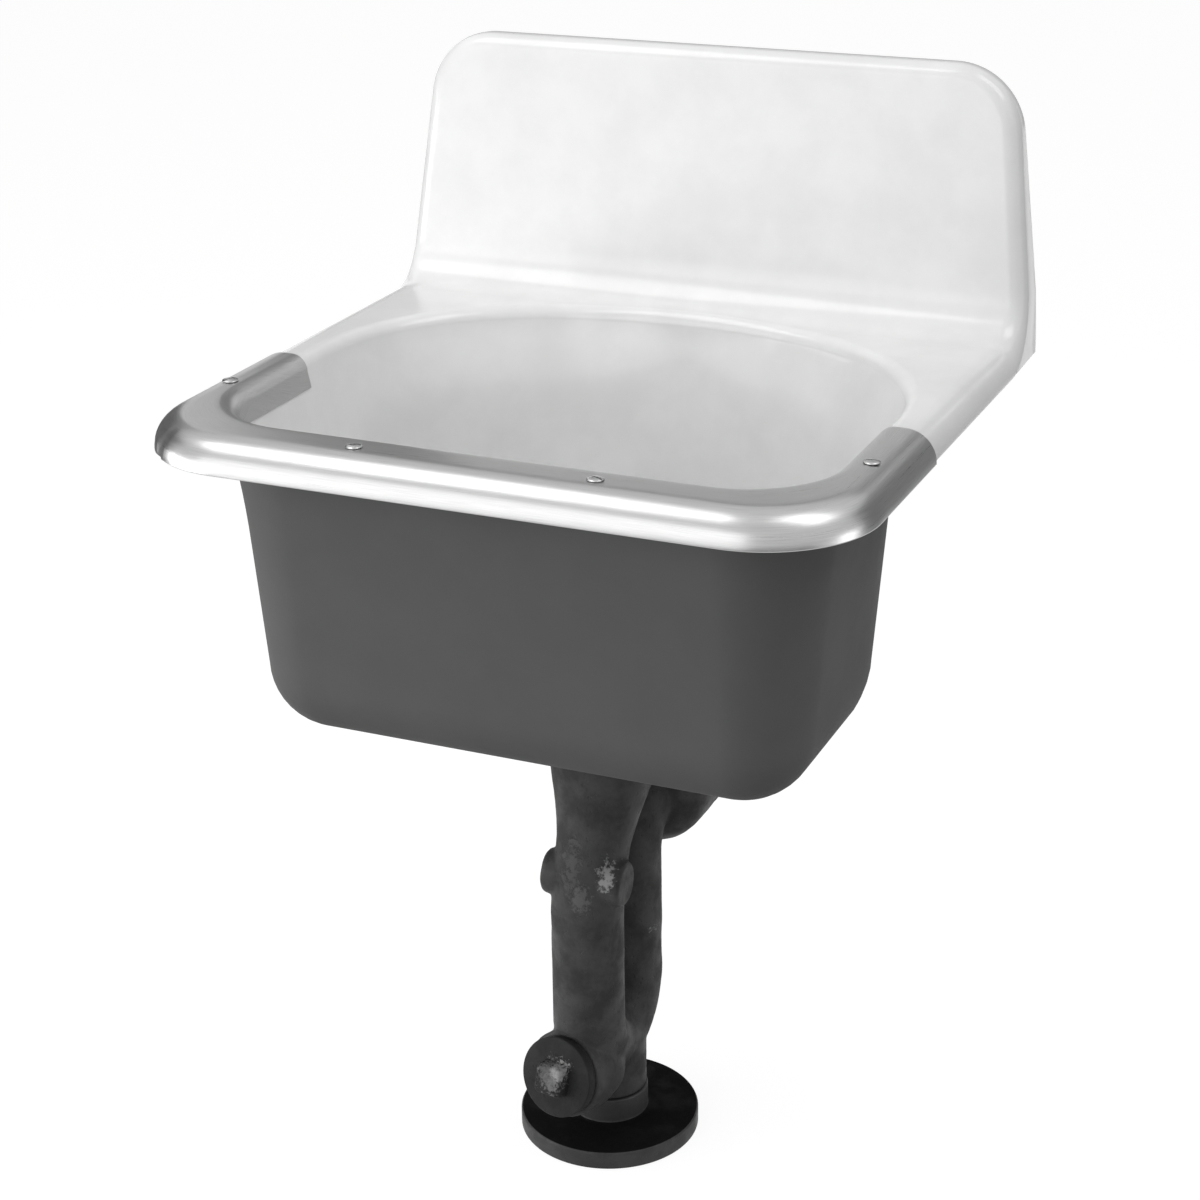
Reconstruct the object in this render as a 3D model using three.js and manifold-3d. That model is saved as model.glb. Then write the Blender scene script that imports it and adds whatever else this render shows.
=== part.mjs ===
// Wall-hung mop service sink: an enamelled cast-iron bowl with a raised back, a steel guard round its
// front rim, and a cast-iron trap that stands on a round floor flange.
// Millimetres. +X is to the right seen from the front, +Y goes back to the wall, +Z is up.
// The origin is where the level of the rim meets the wall, in the middle of the sink's width.
import * as THREE from "three";
import { mergeVertices } from "three/addons/utils/BufferGeometryUtils.js";
import Module from "manifold-3d";

const wasm = await Module();
wasm.setup();

// ---------------------------------------------------------------- driving dimensions, overall
const sinkWidth = 559;
const sinkDepth = 508;
const backHeight = 208;
const rimDrop = 24.5;
const floorToRim = 674.5;
const touchGap = 0.3;

// ---------------------------------------------------------------- driving dimensions, the casting
const ironThickness = 8;
const deckEdgeRoll = 22;
const backEdgeRoll = 14;
const frontCornerRadius = 84;
const backTopNarrowing = 25;
const backCornerRadius = 58;
const backThicknessLow = 42;
const backThicknessTop = 22;
const coveRadius = 38;
const bowlWidth = 474;
const bowlFrontMargin = 56;
const bowlRearMargin = 76;
const bowlSquareLength = 180;
const bowlCornerRadius = 70;
const bowlRearSquareness = 2.3;
const bowlRoll = 11;
const shoulderDrop = 60;
const shoulderInset = 10;
const shoulderRearInset = 10;
const bowlDepth = 264;
const bowlDraft = 12;
const bowlFloorRadius = 46;
const bowlFloorFall = 6;
const wallRibHeight = 10;
const hookSpacing = 300;
const hookWidth = 60;
const hookHeight = 84;
const hookThickness = 8;
const hookLip = 6;
const hookLipLength = 27.7;

// ---------------------------------------------------------------- driving dimensions, the rim guard
const guardThickness = 1.5;
const guardSeat = 0.5;
const guardLegLength = 214;
const guardInnerDrop = 26;
const guardFrontScrewSpacing = 186;
const guardFrontScrewInset = 31.5;
const guardSideScrewInset = 23.4;
const guardSideScrewFromFront = 133.8;
const guardScrewHead = 12.5;
const guardScrewHeadHeight = 1.8;
const guardScrewShank = 4.4;
const guardScrewLength = 14;
const screwPointShare = 0.6;
// Two points of the screw's oval head, as shares of the head's radius and height.
const ovalEdge = { reach: 0.94, rise: 0.5 };
const ovalCrown = { reach: 0.6, rise: 0.9 };

// ---------------------------------------------------------------- driving dimensions, outlet and strainer
const outletFromWall = 253;
const outletBore = 76;
const strainerDiameter = 107;
const strainerThickness = 3;
const strainerHole = 8.5;
// The strainer's rows of holes, each as its radius and its number of holes.
const strainerRows = [
  [0, 1],
  [13, 6],
  [26, 12],
];
const strainerGasket = 2;
const gasketBoreMargin = 1;
const recessDepth = 6.5;
const recessClearance = 1.5;
const outletBossDiameter = 132;
const outletBossDrop = 7.5;
const outletGasket = 3;
const boltCircle = 94;
const boltCount = 3;
const boltDiameter = 6;
const boltHoleClearance = 0.5;
const boltHeadDiameter = 11;
const boltHeadHeight = 3;
const boltThread = 8;
const boltEndGap = 1;
const boltPointBevel = 0.8;
const boltHeadBevel = 1.1;

// ---------------------------------------------------------------- driving dimensions, the trap
const legDiameter = 60;
const waterway = 48;
const legSpacing = 82;
const trapFlangeDiameter = 124;
const trapFlangeThickness = 12;
const inletDiameter = 91;
const inletWaterway = 76;
const coneStartDrop = 27;
const coneLength = 90;
const swayStartDrop = 8;
const swayLength = 166;
const bendLevel = 546;
const armLevel = 391;
const armBendRadius = 42;
const hubDiameter = 108;
const hubFaceFromWall = 95;
const hubLength = 65;
const hubSocket = 87;
const hubSocketDepth = 34;
const hubShoulderLength = 33.5;
const castEdgeBevel = 2;
const bossDiameter = 38;
const bossSpan = 70;
const bossLevel = 417;
const stubDiameter = 64;
const stubBottomLevel = 635.5;
const stubSocketDepth = 17;

// ---------------------------------------------------------------- driving dimensions, the cleanout
const barrelDiameter = 73;
const barrelRootDiameter = 60;
const barrelLength = 50;
const barrelTurn = 11.6;
const barrelTilt = 13.7;
const plugFaceFromWall = 336.3;
const plugFaceLevel = 586.4;
const plugFaceSide = 12.2;
const plugDiameter = 68;
const plugDiscThickness = 7;
const plugHeadWidth = 27;
const plugHeadHeight = 13;
const plugHeadTaper = 0.92;
const plugHeadRoot = 2;
const plugShankDiameter = 55.4;
const plugShankLength = 18;
const cleanoutGasket = 3;
const cleanoutGasketDiameter = 66.5;
const cleanoutClearance = 0.3;
const spotFaceMargin = 1.5;
const facedEdgeBevel = 1.5;
const plugEndBevel = 2;
const boreEndGap = 2;
const boreThroat = 33.6;
const boreThroatLength = 16;

// ---------------------------------------------------------------- driving dimensions, foot and hangers
const flangeDiameter = 153;
const flangeThickness = 16;
const flangeBevel = 2;
const footHubDiameter = 66;
const nippleDiameter = 42;
const nippleClearance = 0.3;
const nippleAboveFloor = 2;
const hangerWidth = 50;
const hangerThickness = 5;
const hangerHeight = 92;
const hangerBelowHook = 36;
const hangerLipHeight = 28;
const hangerScrewHole = 8.6;
const hangerScrewInset = 12;
const hangerWeb = 4;
const hangerPlay = 1.2;

// ---------------------------------------------------------------- how finely round shapes are divided
const cornerSteps = 7;
const rollSteps = 3;
const coveSteps = 4;
const sideSteps = 3;
const backSteps = 2;
const topSteps = 4;
const frontSteps = 4;
const legSteps = 2;
const roundSides = 32;
const pipeSides = 16;
const smallSides = 12;
const drillSides = 8;

// ---------------------------------------------------------------- levels and places that follow
const castingProud = guardThickness + guardSeat;
const castingHalfWidth = sinkWidth / 2 - castingProud;
const castingFront = -sinkDepth + castingProud;
const deckLevel = -castingProud;
const backLean = Math.atan((backThicknessLow - backThicknessTop) / backHeight);
const bowlHalfWidth = bowlWidth / 2;
const bowlFront = -sinkDepth + bowlFrontMargin;
const bowlCentre = bowlFront + bowlSquareLength;
const bowlRearReach = -bowlRearMargin - bowlCentre;
const bowlFloor = -bowlDepth;
const recessFloor = bowlFloor - recessDepth;
const strainerUnderside = recessFloor + strainerGasket + 2 * touchGap;
const strainerTop = strainerUnderside + strainerThickness;
const bowlUnderside = bowlFloor - ironThickness;
const floorEdge = bowlFloor + bowlFloorFall;
const wallTop = deckLevel - bowlRoll;
const outletFace = bowlUnderside - outletBossDrop;
const trapTop = outletFace - outletGasket - 2 * touchGap;
const trapFlangeUnderside = trapTop - trapFlangeThickness;
const strainerRecess = strainerDiameter / 2 + recessClearance;
const frontLeg = -outletFromWall - legSpacing / 2;
const rearLeg = -outletFromWall + legSpacing / 2;
const guardLegEnd = -sinkDepth + guardLegLength;

const radians = (degrees) => (degrees * Math.PI) / 180;
const mix = (a, b, t) => a + (b - a) * t;
// How far a cutting tool runs on past the face it cuts through.
const cutPast = 1;
const smooth = (t) => {
  const c = Math.min(1, Math.max(0, t));
  return c * c * (3 - 2 * c);
};

// ---------------------------------------------------------------- solids
// A closed triangle mesh as a solid that can be joined and cut.
function solidOf(geometry) {
  const bare = geometry.index ? geometry.toNonIndexed() : geometry.clone();
  bare.deleteAttribute("normal");
  bare.deleteAttribute("uv");
  const merged = mergeVertices(bare, 1e-4);
  const vertProperties = new Float32Array(merged.attributes.position.array);
  const triVerts = new Uint32Array(merged.index.array);
  return new wasm.Manifold(new wasm.Mesh({ numProp: 3, vertProperties, triVerts }));
}

function geometryOf(solid) {
  const { numProp, vertProperties, triVerts } = solid.getMesh();
  const positions = new Float32Array((vertProperties.length / numProp) * 3);
  for (let i = 0; i < positions.length / 3; i++) {
    positions.set(vertProperties.subarray(i * numProp, i * numProp + 3), i * 3);
  }
  const geometry = new THREE.BufferGeometry();
  geometry.setAttribute("position", new THREE.BufferAttribute(positions, 3));
  geometry.setIndex(new THREE.BufferAttribute(new Uint32Array(triVerts), 1));
  geometry.computeVertexNormals();
  return geometry;
}

function joined(first, ...others) {
  return others.reduce((sum, other) => sum.add(other), first);
}

function cut(first, ...others) {
  return others.reduce((rest, other) => rest.subtract(other), first);
}

// Turns and moves a geometry, then makes it a solid.
function placed(geometry, place) {
  return solidOf(geometry.clone().applyMatrix4(place));
}

function at(x, y, z) {
  return new THREE.Matrix4().makeTranslation(x, y, z);
}

const standUp = new THREE.Matrix4().makeRotationX(Math.PI / 2);

// An upright cylinder or cone between two levels.
function upright(x, y, low, high, radius, sides = roundSides, topRadius = radius) {
  const geometry = new THREE.CylinderGeometry(topRadius, radius, high - low, sides);
  return placed(geometry, at(x, y, (low + high) / 2).multiply(standUp));
}

function block(x0, x1, y0, y1, z0, z1) {
  const geometry = new THREE.BoxGeometry(x1 - x0, y1 - y0, z1 - z0);
  return placed(geometry, at((x0 + x1) / 2, (y0 + y1) / 2, (z0 + z1) / 2));
}

// A profile of [radius, height] pairs turned round the Z axis. It closes on itself or runs axis to axis.
function turned(profile, sides = roundSides) {
  const points = profile.map(([radius, height]) => new THREE.Vector2(radius, height));
  return new THREE.LatheGeometry(points, sides).applyMatrix4(standUp);
}

// The triangles of a grid of points, whose rows may close round and whose last row may join the first.
function gridTriangles(rows, columns, wrapRows, wrapColumns) {
  const triangles = [];
  const rowEnd = wrapRows ? rows : rows - 1;
  const columnEnd = wrapColumns ? columns : columns - 1;
  for (let i = 0; i < rowEnd; i++) {
    for (let j = 0; j < columnEnd; j++) {
      const a = i * columns + j;
      const b = i * columns + ((j + 1) % columns);
      const c = ((i + 1) % rows) * columns + ((j + 1) % columns);
      const d = ((i + 1) % rows) * columns + j;
      triangles.push(a, c, b, a, d, c);
    }
  }
  return triangles;
}

function meshOfPoints(points, triangles) {
  const geometry = new THREE.BufferGeometry();
  geometry.setAttribute(
    "position",
    new THREE.Float32BufferAttribute(points.flatMap((p) => [p.x, p.y, p.z]), 3),
  );
  geometry.setIndex(triangles);
  return geometry;
}

// A solid whose rings close round and whose last ring joins the first, like a deformed torus.
function ringSolid(rings) {
  const triangles = gridTriangles(rings.length, rings[0].length, true, true);
  return solidOf(meshOfPoints(rings.flat(), triangles));
}

// A pipe through rings of equal size, closed by a fan at each end.
function pipeSolid(rings, centres) {
  const sides = rings[0].length;
  const triangles = gridTriangles(rings.length, sides, false, true);
  const points = [...rings.flat(), centres[0], centres[centres.length - 1]];
  const last = (rings.length - 1) * sides;
  for (let j = 0; j < sides; j++) {
    const next = (j + 1) % sides;
    triangles.push(rings.length * sides, j, next);
    triangles.push(rings.length * sides + 1, last + next, last + j);
  }
  return solidOf(meshOfPoints(points, triangles));
}

// A sheet between an upper and a lower grid of the same size, closed along its edges.
function sheetSolid(upper, lower) {
  const rows = upper.length;
  const columns = upper[0].length;
  const count = rows * columns;
  const above = gridTriangles(rows, columns, false, false);
  const below = above.map((corner) => corner + count).reverse();
  const edges = [];
  for (let j = 0; j < columns - 1; j++) {
    const last = (rows - 1) * columns + j;
    edges.push([j, j + 1], [last + 1, last]);
  }
  for (let i = 0; i < rows - 1; i++) {
    const first = i * columns;
    const last = first + columns - 1;
    edges.push([first + columns, first], [last, last + columns]);
  }
  const sides = edges.flatMap(([a, b]) => [a, b, b + count, a, b + count, a + count]);
  return solidOf(meshOfPoints([...upper.flat(), ...lower.flat()], [...above, ...below, ...sides]));
}

// ---------------------------------------------------------------- the sheet that deck, cove and back form
// The top of the casting is a flat sheet folded up at the cove. s runs back along the deck as y does, and
// then on up the cove and the back. depth is measured into the iron.
const coveTurn = Math.PI / 2 - backLean;
const coveHeight = deckLevel + coveRadius;
// Where the sheet starts to turn up, so that the back is backThicknessLow thick at the level of the rim.
const coveStart =
  -backThicknessLow - (coveRadius - coveHeight * Math.sin(backLean)) / Math.cos(backLean);
const coveEnd = coveStart + coveRadius * coveTurn;
const coveEndLevel = coveHeight - coveRadius * Math.cos(coveTurn);
const sheetTop =
  coveEnd + (backHeight - coveEndLevel + backEdgeRoll * Math.sin(backLean)) / Math.cos(backLean);

function folded(x, s, depth) {
  if (s <= coveStart) return new THREE.Vector3(x, s, deckLevel - depth);
  const turn = Math.min((s - coveStart) / coveRadius, coveTurn);
  const along = Math.max(0, s - coveEnd);
  const y = coveStart + (coveRadius + depth) * Math.sin(turn) + along * Math.cos(turn);
  const z = coveHeight - (coveRadius + depth) * Math.cos(turn) + along * Math.sin(turn);
  return new THREE.Vector3(x, y, z);
}

// How far the turned-down edge reaches: to the rim's lower edge under the deck, to the wall behind the back.
function edgeDepth(s) {
  const surface = folded(0, s, 0);
  const turn = Math.min(Math.max(0, (s - coveStart) / coveRadius), coveTurn);
  const toWall = turn > 0 ? -surface.y / Math.sin(turn) : Infinity;
  const toRim = turn < Math.PI / 2 ? (surface.z + rimDrop) / Math.cos(turn) : Infinity;
  return Math.min(toWall, toRim);
}

// The radius of the rolled edge, larger on the deck than on the back.
function edgeRollAt(s) {
  return mix(deckEdgeRoll, backEdgeRoll, smooth((s - coveStart) / (coveEnd - coveStart)));
}

function halfWidthAt(s) {
  const height = Math.max(0, folded(0, s, 0).z) / folded(0, sheetTop, 0).z;
  return castingHalfWidth - backTopNarrowing * height;
}

// ---------------------------------------------------------------- stations round the sink
// Each station pairs a point of the casting's outer edge with one of the bowl's edge, with their normals.
const direction = (angle) => new THREE.Vector2(Math.cos(angle), Math.sin(angle));

function bowlPointTowards(angle) {
  const n = bowlRearSquareness;
  const ray = direction(angle);
  const across = Math.abs(ray.x / bowlHalfWidth);
  const back = Math.abs(ray.y / bowlRearReach);
  const reach = (across ** n + back ** n) ** (-1 / n);
  const point = ray.clone().multiplyScalar(reach);
  const side = (Math.sign(ray.x) * across ** (n - 1)) / bowlHalfWidth;
  const normal = new THREE.Vector2(side, back ** (n - 1) / bowlRearReach);
  return { inner: point.add(new THREE.Vector2(0, bowlCentre)), innerNormal: normal.normalize() };
}

function rearStation(outer, outerNormal) {
  const angle = Math.atan2(outer.y - bowlCentre, outer.x);
  return { outer, outerNormal, ...bowlPointTowards(angle) };
}

function sideStation(s) {
  const reach = 2;
  const slope = (halfWidthAt(s + reach) - halfWidthAt(s - reach)) / (2 * reach);
  return rearStation(new THREE.Vector2(halfWidthAt(s), s), new THREE.Vector2(1, -slope).normalize());
}

// The right half of the rear, from the middle of the bowl's side to the middle of the back's top.
function rightRearStations() {
  const stations = [];
  for (let i = 0; i < sideSteps; i++) stations.push(sideStation(mix(bowlCentre, coveStart, i / sideSteps)));
  for (let i = 0; i <= coveSteps; i++) stations.push(sideStation(mix(coveStart, coveEnd, i / coveSteps)));
  const slope = (halfWidthAt(sheetTop) - halfWidthAt(coveEnd)) / (sheetTop - coveEnd);
  const lean = Math.atan(-slope);
  const centreS = sheetTop - backCornerRadius;
  const centreX = halfWidthAt(centreS) - backCornerRadius / Math.cos(lean);
  const cornerStart = centreS + backCornerRadius * Math.sin(lean);
  for (let i = 1; i < backSteps; i++) stations.push(sideStation(mix(coveEnd, cornerStart, i / backSteps)));
  for (let i = 0; i <= cornerSteps; i++) {
    const normal = direction(mix(lean, Math.PI / 2, i / cornerSteps));
    const outer = normal.clone().multiplyScalar(backCornerRadius).add(new THREE.Vector2(centreX, centreS));
    stations.push(rearStation(outer, normal));
  }
  for (let i = 1; i <= topSteps; i++) {
    const outer = new THREE.Vector2(mix(centreX, 0, i / topSteps), sheetTop);
    stations.push(rearStation(outer, new THREE.Vector2(0, 1)));
  }
  return stations;
}

// The right half of the front, from the guard's end round the corner to the middle of the front.
function rightFrontStations() {
  const stations = [];
  const right = new THREE.Vector2(1, 0);
  const cornerX = castingHalfWidth - frontCornerRadius;
  const outerCorner = new THREE.Vector2(cornerX, castingFront + frontCornerRadius);
  const innerCorner = new THREE.Vector2(bowlHalfWidth - bowlCornerRadius, bowlFront + bowlCornerRadius);
  for (let i = 0; i < legSteps; i++) {
    const outer = new THREE.Vector2(castingHalfWidth, mix(guardLegEnd, outerCorner.y, i / legSteps));
    const inner = new THREE.Vector2(bowlHalfWidth, mix(guardLegEnd, innerCorner.y, i / legSteps));
    stations.push({ outer, outerNormal: right.clone(), inner, innerNormal: right.clone() });
  }
  for (let i = 0; i <= cornerSteps; i++) {
    const normal = direction((-Math.PI / 2) * (i / cornerSteps));
    stations.push({
      outer: normal.clone().multiplyScalar(frontCornerRadius).add(outerCorner),
      outerNormal: normal,
      inner: normal.clone().multiplyScalar(bowlCornerRadius).add(innerCorner),
      innerNormal: normal.clone(),
    });
  }
  const front = new THREE.Vector2(0, -1);
  for (let i = 1; i <= frontSteps / 2; i++) {
    const t = i / (frontSteps / 2);
    const outer = new THREE.Vector2(mix(outerCorner.x, 0, t), castingFront);
    const inner = new THREE.Vector2(mix(innerCorner.x, 0, t), bowlFront);
    stations.push({ outer, outerNormal: front.clone(), inner, innerNormal: front.clone() });
  }
  return stations;
}

function mirrored({ outer, outerNormal, inner, innerNormal }) {
  const flip = (v) => new THREE.Vector2(-v.x, v.y);
  return {
    outer: flip(outer),
    outerNormal: flip(outerNormal),
    inner: flip(inner),
    innerNormal: flip(innerNormal),
  };
}

// From the right half's stations, all of them in one turn: right, middle, then left the other way.
function withMirror(half) {
  return [...half, ...half.slice(0, -1).reverse().map(mirrored)];
}

const rearStations = withMirror(rightRearStations());
const frontStations = withMirror(rightFrontStations()).reverse();
const allStations = [...rearStations, ...frontStations];

// ---------------------------------------------------------------- the casting
// How far a Bezier curve's handles reach to its corner, for a curve close to a quarter circle.
const quarterTurnFullness = 0.55;
// The levels at which rings cross the cove, kept in order where a station ends before it reaches them.
const coveLevels = [];
for (let i = 0; i <= coveSteps; i++) coveLevels.push(mix(coveStart, coveEnd, i / coveSteps));
const ringSpread = 0.06;

function deckPoint(station, level, depth) {
  const from = station.inner.clone().addScaledVector(station.innerNormal, bowlRoll);
  const to = station.outer.clone().addScaledVector(station.outerNormal, -edgeRollAt(station.outer.y));
  const crossing = to.y > coveLevels[level] ? (coveLevels[level] - from.y) / (to.y - from.y) : Infinity;
  const latest = 1 - ringSpread * (coveLevels.length - level);
  const earliest = ringSpread * (level + 1);
  const t = Math.max(earliest, Math.min(crossing, latest));
  return folded(mix(from.x, to.x, t), mix(from.y, to.y, t), depth);
}

function edgePoint(station, inset, depth) {
  const p = station.outer.clone().addScaledVector(station.outerNormal, -inset);
  return folded(p.x, p.y, depth);
}

// A point on the rolled edge: turn goes from the flat to the side, thin is how far inside the skin it is.
function edgeRollPoint(station, turn, thin) {
  const roll = edgeRollAt(station.outer.y);
  const radius = roll - thin;
  return edgePoint(station, roll - radius * Math.sin(turn), roll - radius * Math.cos(turn));
}

// A point of the bowl's wall: inset from the edge at the top, at a level.
function wallPoint(station, inset, level) {
  const p = station.inner.clone().addScaledVector(station.innerNormal, -inset);
  return new THREE.Vector3(p.x, p.y, level);
}

// How far the wall has come in at the shoulder below the rolled edge. It comes in most at the rear corners.
function shoulderAt(station) {
  const angle = Math.atan2(station.inner.y - bowlCentre, station.inner.x);
  const rear = Math.max(0, Math.sin(angle)) * Math.abs(Math.cos(angle)) * 2;
  return shoulderInset + shoulderRearInset * rear;
}

// The rolled edge from the deck down into the bowl, as one smooth curve. depth is measured into the iron.
function bowlRollPoint(station, t, depth) {
  const edge = station.inner.clone().addScaledVector(station.innerNormal, bowlRoll);
  const start = folded(edge.x, edge.y, depth);
  const end = wallPoint(station, -depth, wallTop);
  const bend = new THREE.Vector3(end.x, end.y, start.z);
  const control1 = start.clone().lerp(bend, quarterTurnFullness);
  const control2 = end.clone().lerp(bend, quarterTurnFullness);
  return new THREE.CubicBezierCurve3(start, control1, control2, end).getPoint(t);
}

function circlePoint(station, radius, level) {
  const angle = Math.atan2(station.inner.y + outletFromWall, station.inner.x);
  return new THREE.Vector3(radius * Math.cos(angle), -outletFromWall + radius * Math.sin(angle), level);
}

function castingShell() {
  const ring = (pointOf) => allStations.map(pointOf);
  const rings = [];
  const bore = outletBore / 2;
  rings.push(ring((p) => circlePoint(p, bore, recessFloor)));
  rings.push(ring((p) => circlePoint(p, strainerRecess, recessFloor)));
  rings.push(ring((p) => circlePoint(p, strainerRecess, bowlFloor)));
  for (let i = 0; i <= rollSteps; i++) {
    const turn = (Math.PI / 2) * (i / rollSteps);
    const inset = bowlDraft + bowlFloorRadius * (1 - Math.sin(turn));
    const level = floorEdge + bowlFloorRadius * (1 - Math.cos(turn));
    rings.push(ring((p) => wallPoint(p, shoulderAt(p) + inset, level)));
  }
  rings.push(ring((p) => wallPoint(p, shoulderAt(p), -shoulderDrop)));
  for (let i = rollSteps; i >= 0; i--) rings.push(ring((p) => bowlRollPoint(p, i / rollSteps, 0)));
  for (let k = 0; k < coveLevels.length; k++) rings.push(ring((p) => deckPoint(p, k, 0)));
  for (let i = 0; i <= rollSteps; i++) {
    rings.push(ring((p) => edgeRollPoint(p, (Math.PI / 2) * (i / rollSteps), 0)));
  }
  rings.push(ring((p) => edgePoint(p, 0, edgeDepth(p.outer.y))));
  rings.push(ring((p) => edgePoint(p, ironThickness, edgeDepth(p.outer.y))));
  for (let i = 1; i >= 0; i--) rings.push(ring((p) => edgeRollPoint(p, (Math.PI / 2) * i, ironThickness)));
  for (let k = coveLevels.length - 1; k >= 0; k--) rings.push(ring((p) => deckPoint(p, k, ironThickness)));
  rings.push(ring((p) => bowlRollPoint(p, 0, ironThickness)));
  rings.push(ring((p) => bowlRollPoint(p, 1, ironThickness)));
  rings.push(ring((p) => wallPoint(p, shoulderAt(p) - ironThickness, -shoulderDrop)));
  const outerRadius = bowlFloorRadius + ironThickness;
  for (let i = rollSteps; i >= 0; i--) {
    const turn = (Math.PI / 2) * (i / rollSteps);
    const inset = bowlDraft - ironThickness + outerRadius * (1 - Math.sin(turn));
    const level = floorEdge - ironThickness + outerRadius * (1 - Math.cos(turn));
    rings.push(ring((p) => wallPoint(p, shoulderAt(p) + inset, level)));
  }
  const boss = outletBossDiameter / 2;
  rings.push(ring((p) => circlePoint(p, boss, bowlUnderside)));
  rings.push(ring((p) => circlePoint(p, boss, outletFace)));
  rings.push(ring((p) => circlePoint(p, bore, outletFace)));
  return ringSolid(rings);
}

// The rib along the wall at rim level, which bears on the wall.
function wallRib() {
  const reach = castingHalfWidth - ironThickness / 2;
  const intoCove = coveStart + Math.sqrt((coveRadius + ironThickness / 2) ** 2 - coveHeight ** 2);
  return block(-reach, reach, intoCove, 0, -wallRibHeight / 2, wallRibHeight / 2);
}

// A hook behind the back: a ledge with a lip that hangs down behind the hanger's own lip.
function backHook(x) {
  const lipBack = -hangerThickness - hangerPlay;
  const ledgeTop = hookHeight + hookThickness;
  const faceAtLedge = -mix(backThicknessLow, backThicknessTop, hookHeight / backHeight);
  const ledgeFront = faceAtLedge + ironThickness / 2;
  const left = x - hookWidth / 2;
  const right = x + hookWidth / 2;
  const ledge = block(left, right, ledgeFront, lipBack, hookHeight, ledgeTop);
  const lip = block(left, right, lipBack - hookLip, lipBack, hookHeight - hookLipLength, ledgeTop);
  return joined(ledge, lip);
}

const hookPlaces = [-hookSpacing / 2, hookSpacing / 2];

const guardScrewPlaces = {
  front_left: [-guardFrontScrewSpacing / 2, -sinkDepth + guardFrontScrewInset],
  front_right: [guardFrontScrewSpacing / 2, -sinkDepth + guardFrontScrewInset],
  side_left: [-sinkWidth / 2 + guardSideScrewInset, -sinkDepth + guardSideScrewFromFront],
  side_right: [sinkWidth / 2 - guardSideScrewInset, -sinkDepth + guardSideScrewFromFront],
};

function guardScrewHoles() {
  const radius = guardScrewShank / 2 + touchGap;
  return Object.values(guardScrewPlaces).map(([x, y]) =>
    upright(x, y, -guardScrewLength - ironThickness, ironThickness, radius, smallSides),
  );
}

const boltPlaces = [];
for (let i = 0; i < boltCount; i++) {
  const around = direction(Math.PI / 2 + (2 * Math.PI * i) / boltCount).multiplyScalar(boltCircle / 2);
  boltPlaces.push([around.x, around.y - outletFromWall]);
}

function boltHoles(low, high) {
  const radius = boltDiameter / 2 + boltHoleClearance;
  return boltPlaces.map(([x, y]) => upright(x, y, low, high, radius, smallSides));
}

function sinkCasting() {
  const body = joined(castingShell(), wallRib(), ...hookPlaces.map(backHook));
  return cut(body, ...guardScrewHoles(), ...boltHoles(outletFace - cutPast, recessFloor + cutPast));
}

// ---------------------------------------------------------------- the rim guard
// One section of the guard: from the lower edge outside, over the top, to the lower edge inside the bowl.
function guardSection(station, lift) {
  const outset = castingProud - lift;
  const outerRadius = deckEdgeRoll + outset;
  const innerRadius = bowlRoll + outset;
  const top = deckLevel + outset;
  const place = (from, normal, shift, level) => {
    const p = from.clone().addScaledVector(normal, shift);
    return new THREE.Vector3(p.x, p.y, level);
  };
  const points = [place(station.outer, station.outerNormal, outset, -rimDrop)];
  for (let i = 0; i <= rollSteps; i++) {
    const turn = (Math.PI / 2) * (i / rollSteps);
    const shift = outset - outerRadius * (1 - Math.cos(turn));
    points.push(place(station.outer, station.outerNormal, shift, top - outerRadius * (1 - Math.sin(turn))));
  }
  for (let i = rollSteps; i >= 0; i--) {
    const turn = (Math.PI / 2) * (i / rollSteps);
    const shift = innerRadius * (1 - Math.cos(turn)) - outset;
    points.push(place(station.inner, station.innerNormal, shift, top - innerRadius * (1 - Math.sin(turn))));
  }
  const leanIn = (shoulderAt(station) * (wallTop + guardInnerDrop)) / (wallTop + shoulderDrop);
  points.push(place(station.inner, station.innerNormal, -outset - leanIn, -guardInnerDrop));
  return points;
}

function rimGuard() {
  const upper = frontStations.map((station) => guardSection(station, 0));
  const lower = frontStations.map((station) => guardSection(station, guardThickness));
  return cut(sheetSolid(upper, lower), ...guardScrewHoles());
}

// A screw with a low oval head, its head on the guard and its shank in the casting.
function guardScrew() {
  const head = guardScrewHead / 2;
  const shank = guardScrewShank / 2;
  return turned(
    [
      [0, -guardScrewLength],
      [shank * screwPointShare, -guardScrewLength],
      [shank, -guardScrewLength + shank],
      [shank, touchGap],
      [head, touchGap],
      [head * ovalEdge.reach, touchGap + guardScrewHeadHeight * ovalEdge.rise],
      [head * ovalCrown.reach, touchGap + guardScrewHeadHeight * ovalCrown.rise],
      [0, touchGap + guardScrewHeadHeight],
    ],
    smallSides,
  );
}

// ---------------------------------------------------------------- strainer, gaskets and bolts
function flatRing(outer, inner, low, high) {
  const disc = upright(0, -outletFromWall, low, high, outer);
  return cut(disc, upright(0, -outletFromWall, low - cutPast, high + cutPast, inner));
}

function strainerPlate() {
  const plate = upright(0, -outletFromWall, strainerUnderside, strainerTop, strainerDiameter / 2);
  const holes = [];
  const low = strainerUnderside - cutPast;
  const top = strainerTop + cutPast;
  for (const [radius, count] of strainerRows) {
    for (let i = 0; i < count; i++) {
      const spot = direction((2 * Math.PI * (i + 0.5)) / count).multiplyScalar(radius);
      const y = spot.y - outletFromWall;
      holes.push(upright(spot.x, y, low, top, strainerHole / 2, drillSides));
    }
  }
  return cut(plate, ...holes, ...boltHoles(low, top));
}

function strainerGasketRing() {
  const low = recessFloor + touchGap;
  const ring = flatRing(strainerDiameter / 2, outletBore / 2 + gasketBoreMargin, low, low + strainerGasket);
  return cut(ring, ...boltHoles(low - cutPast, low + strainerGasket + cutPast));
}

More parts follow.
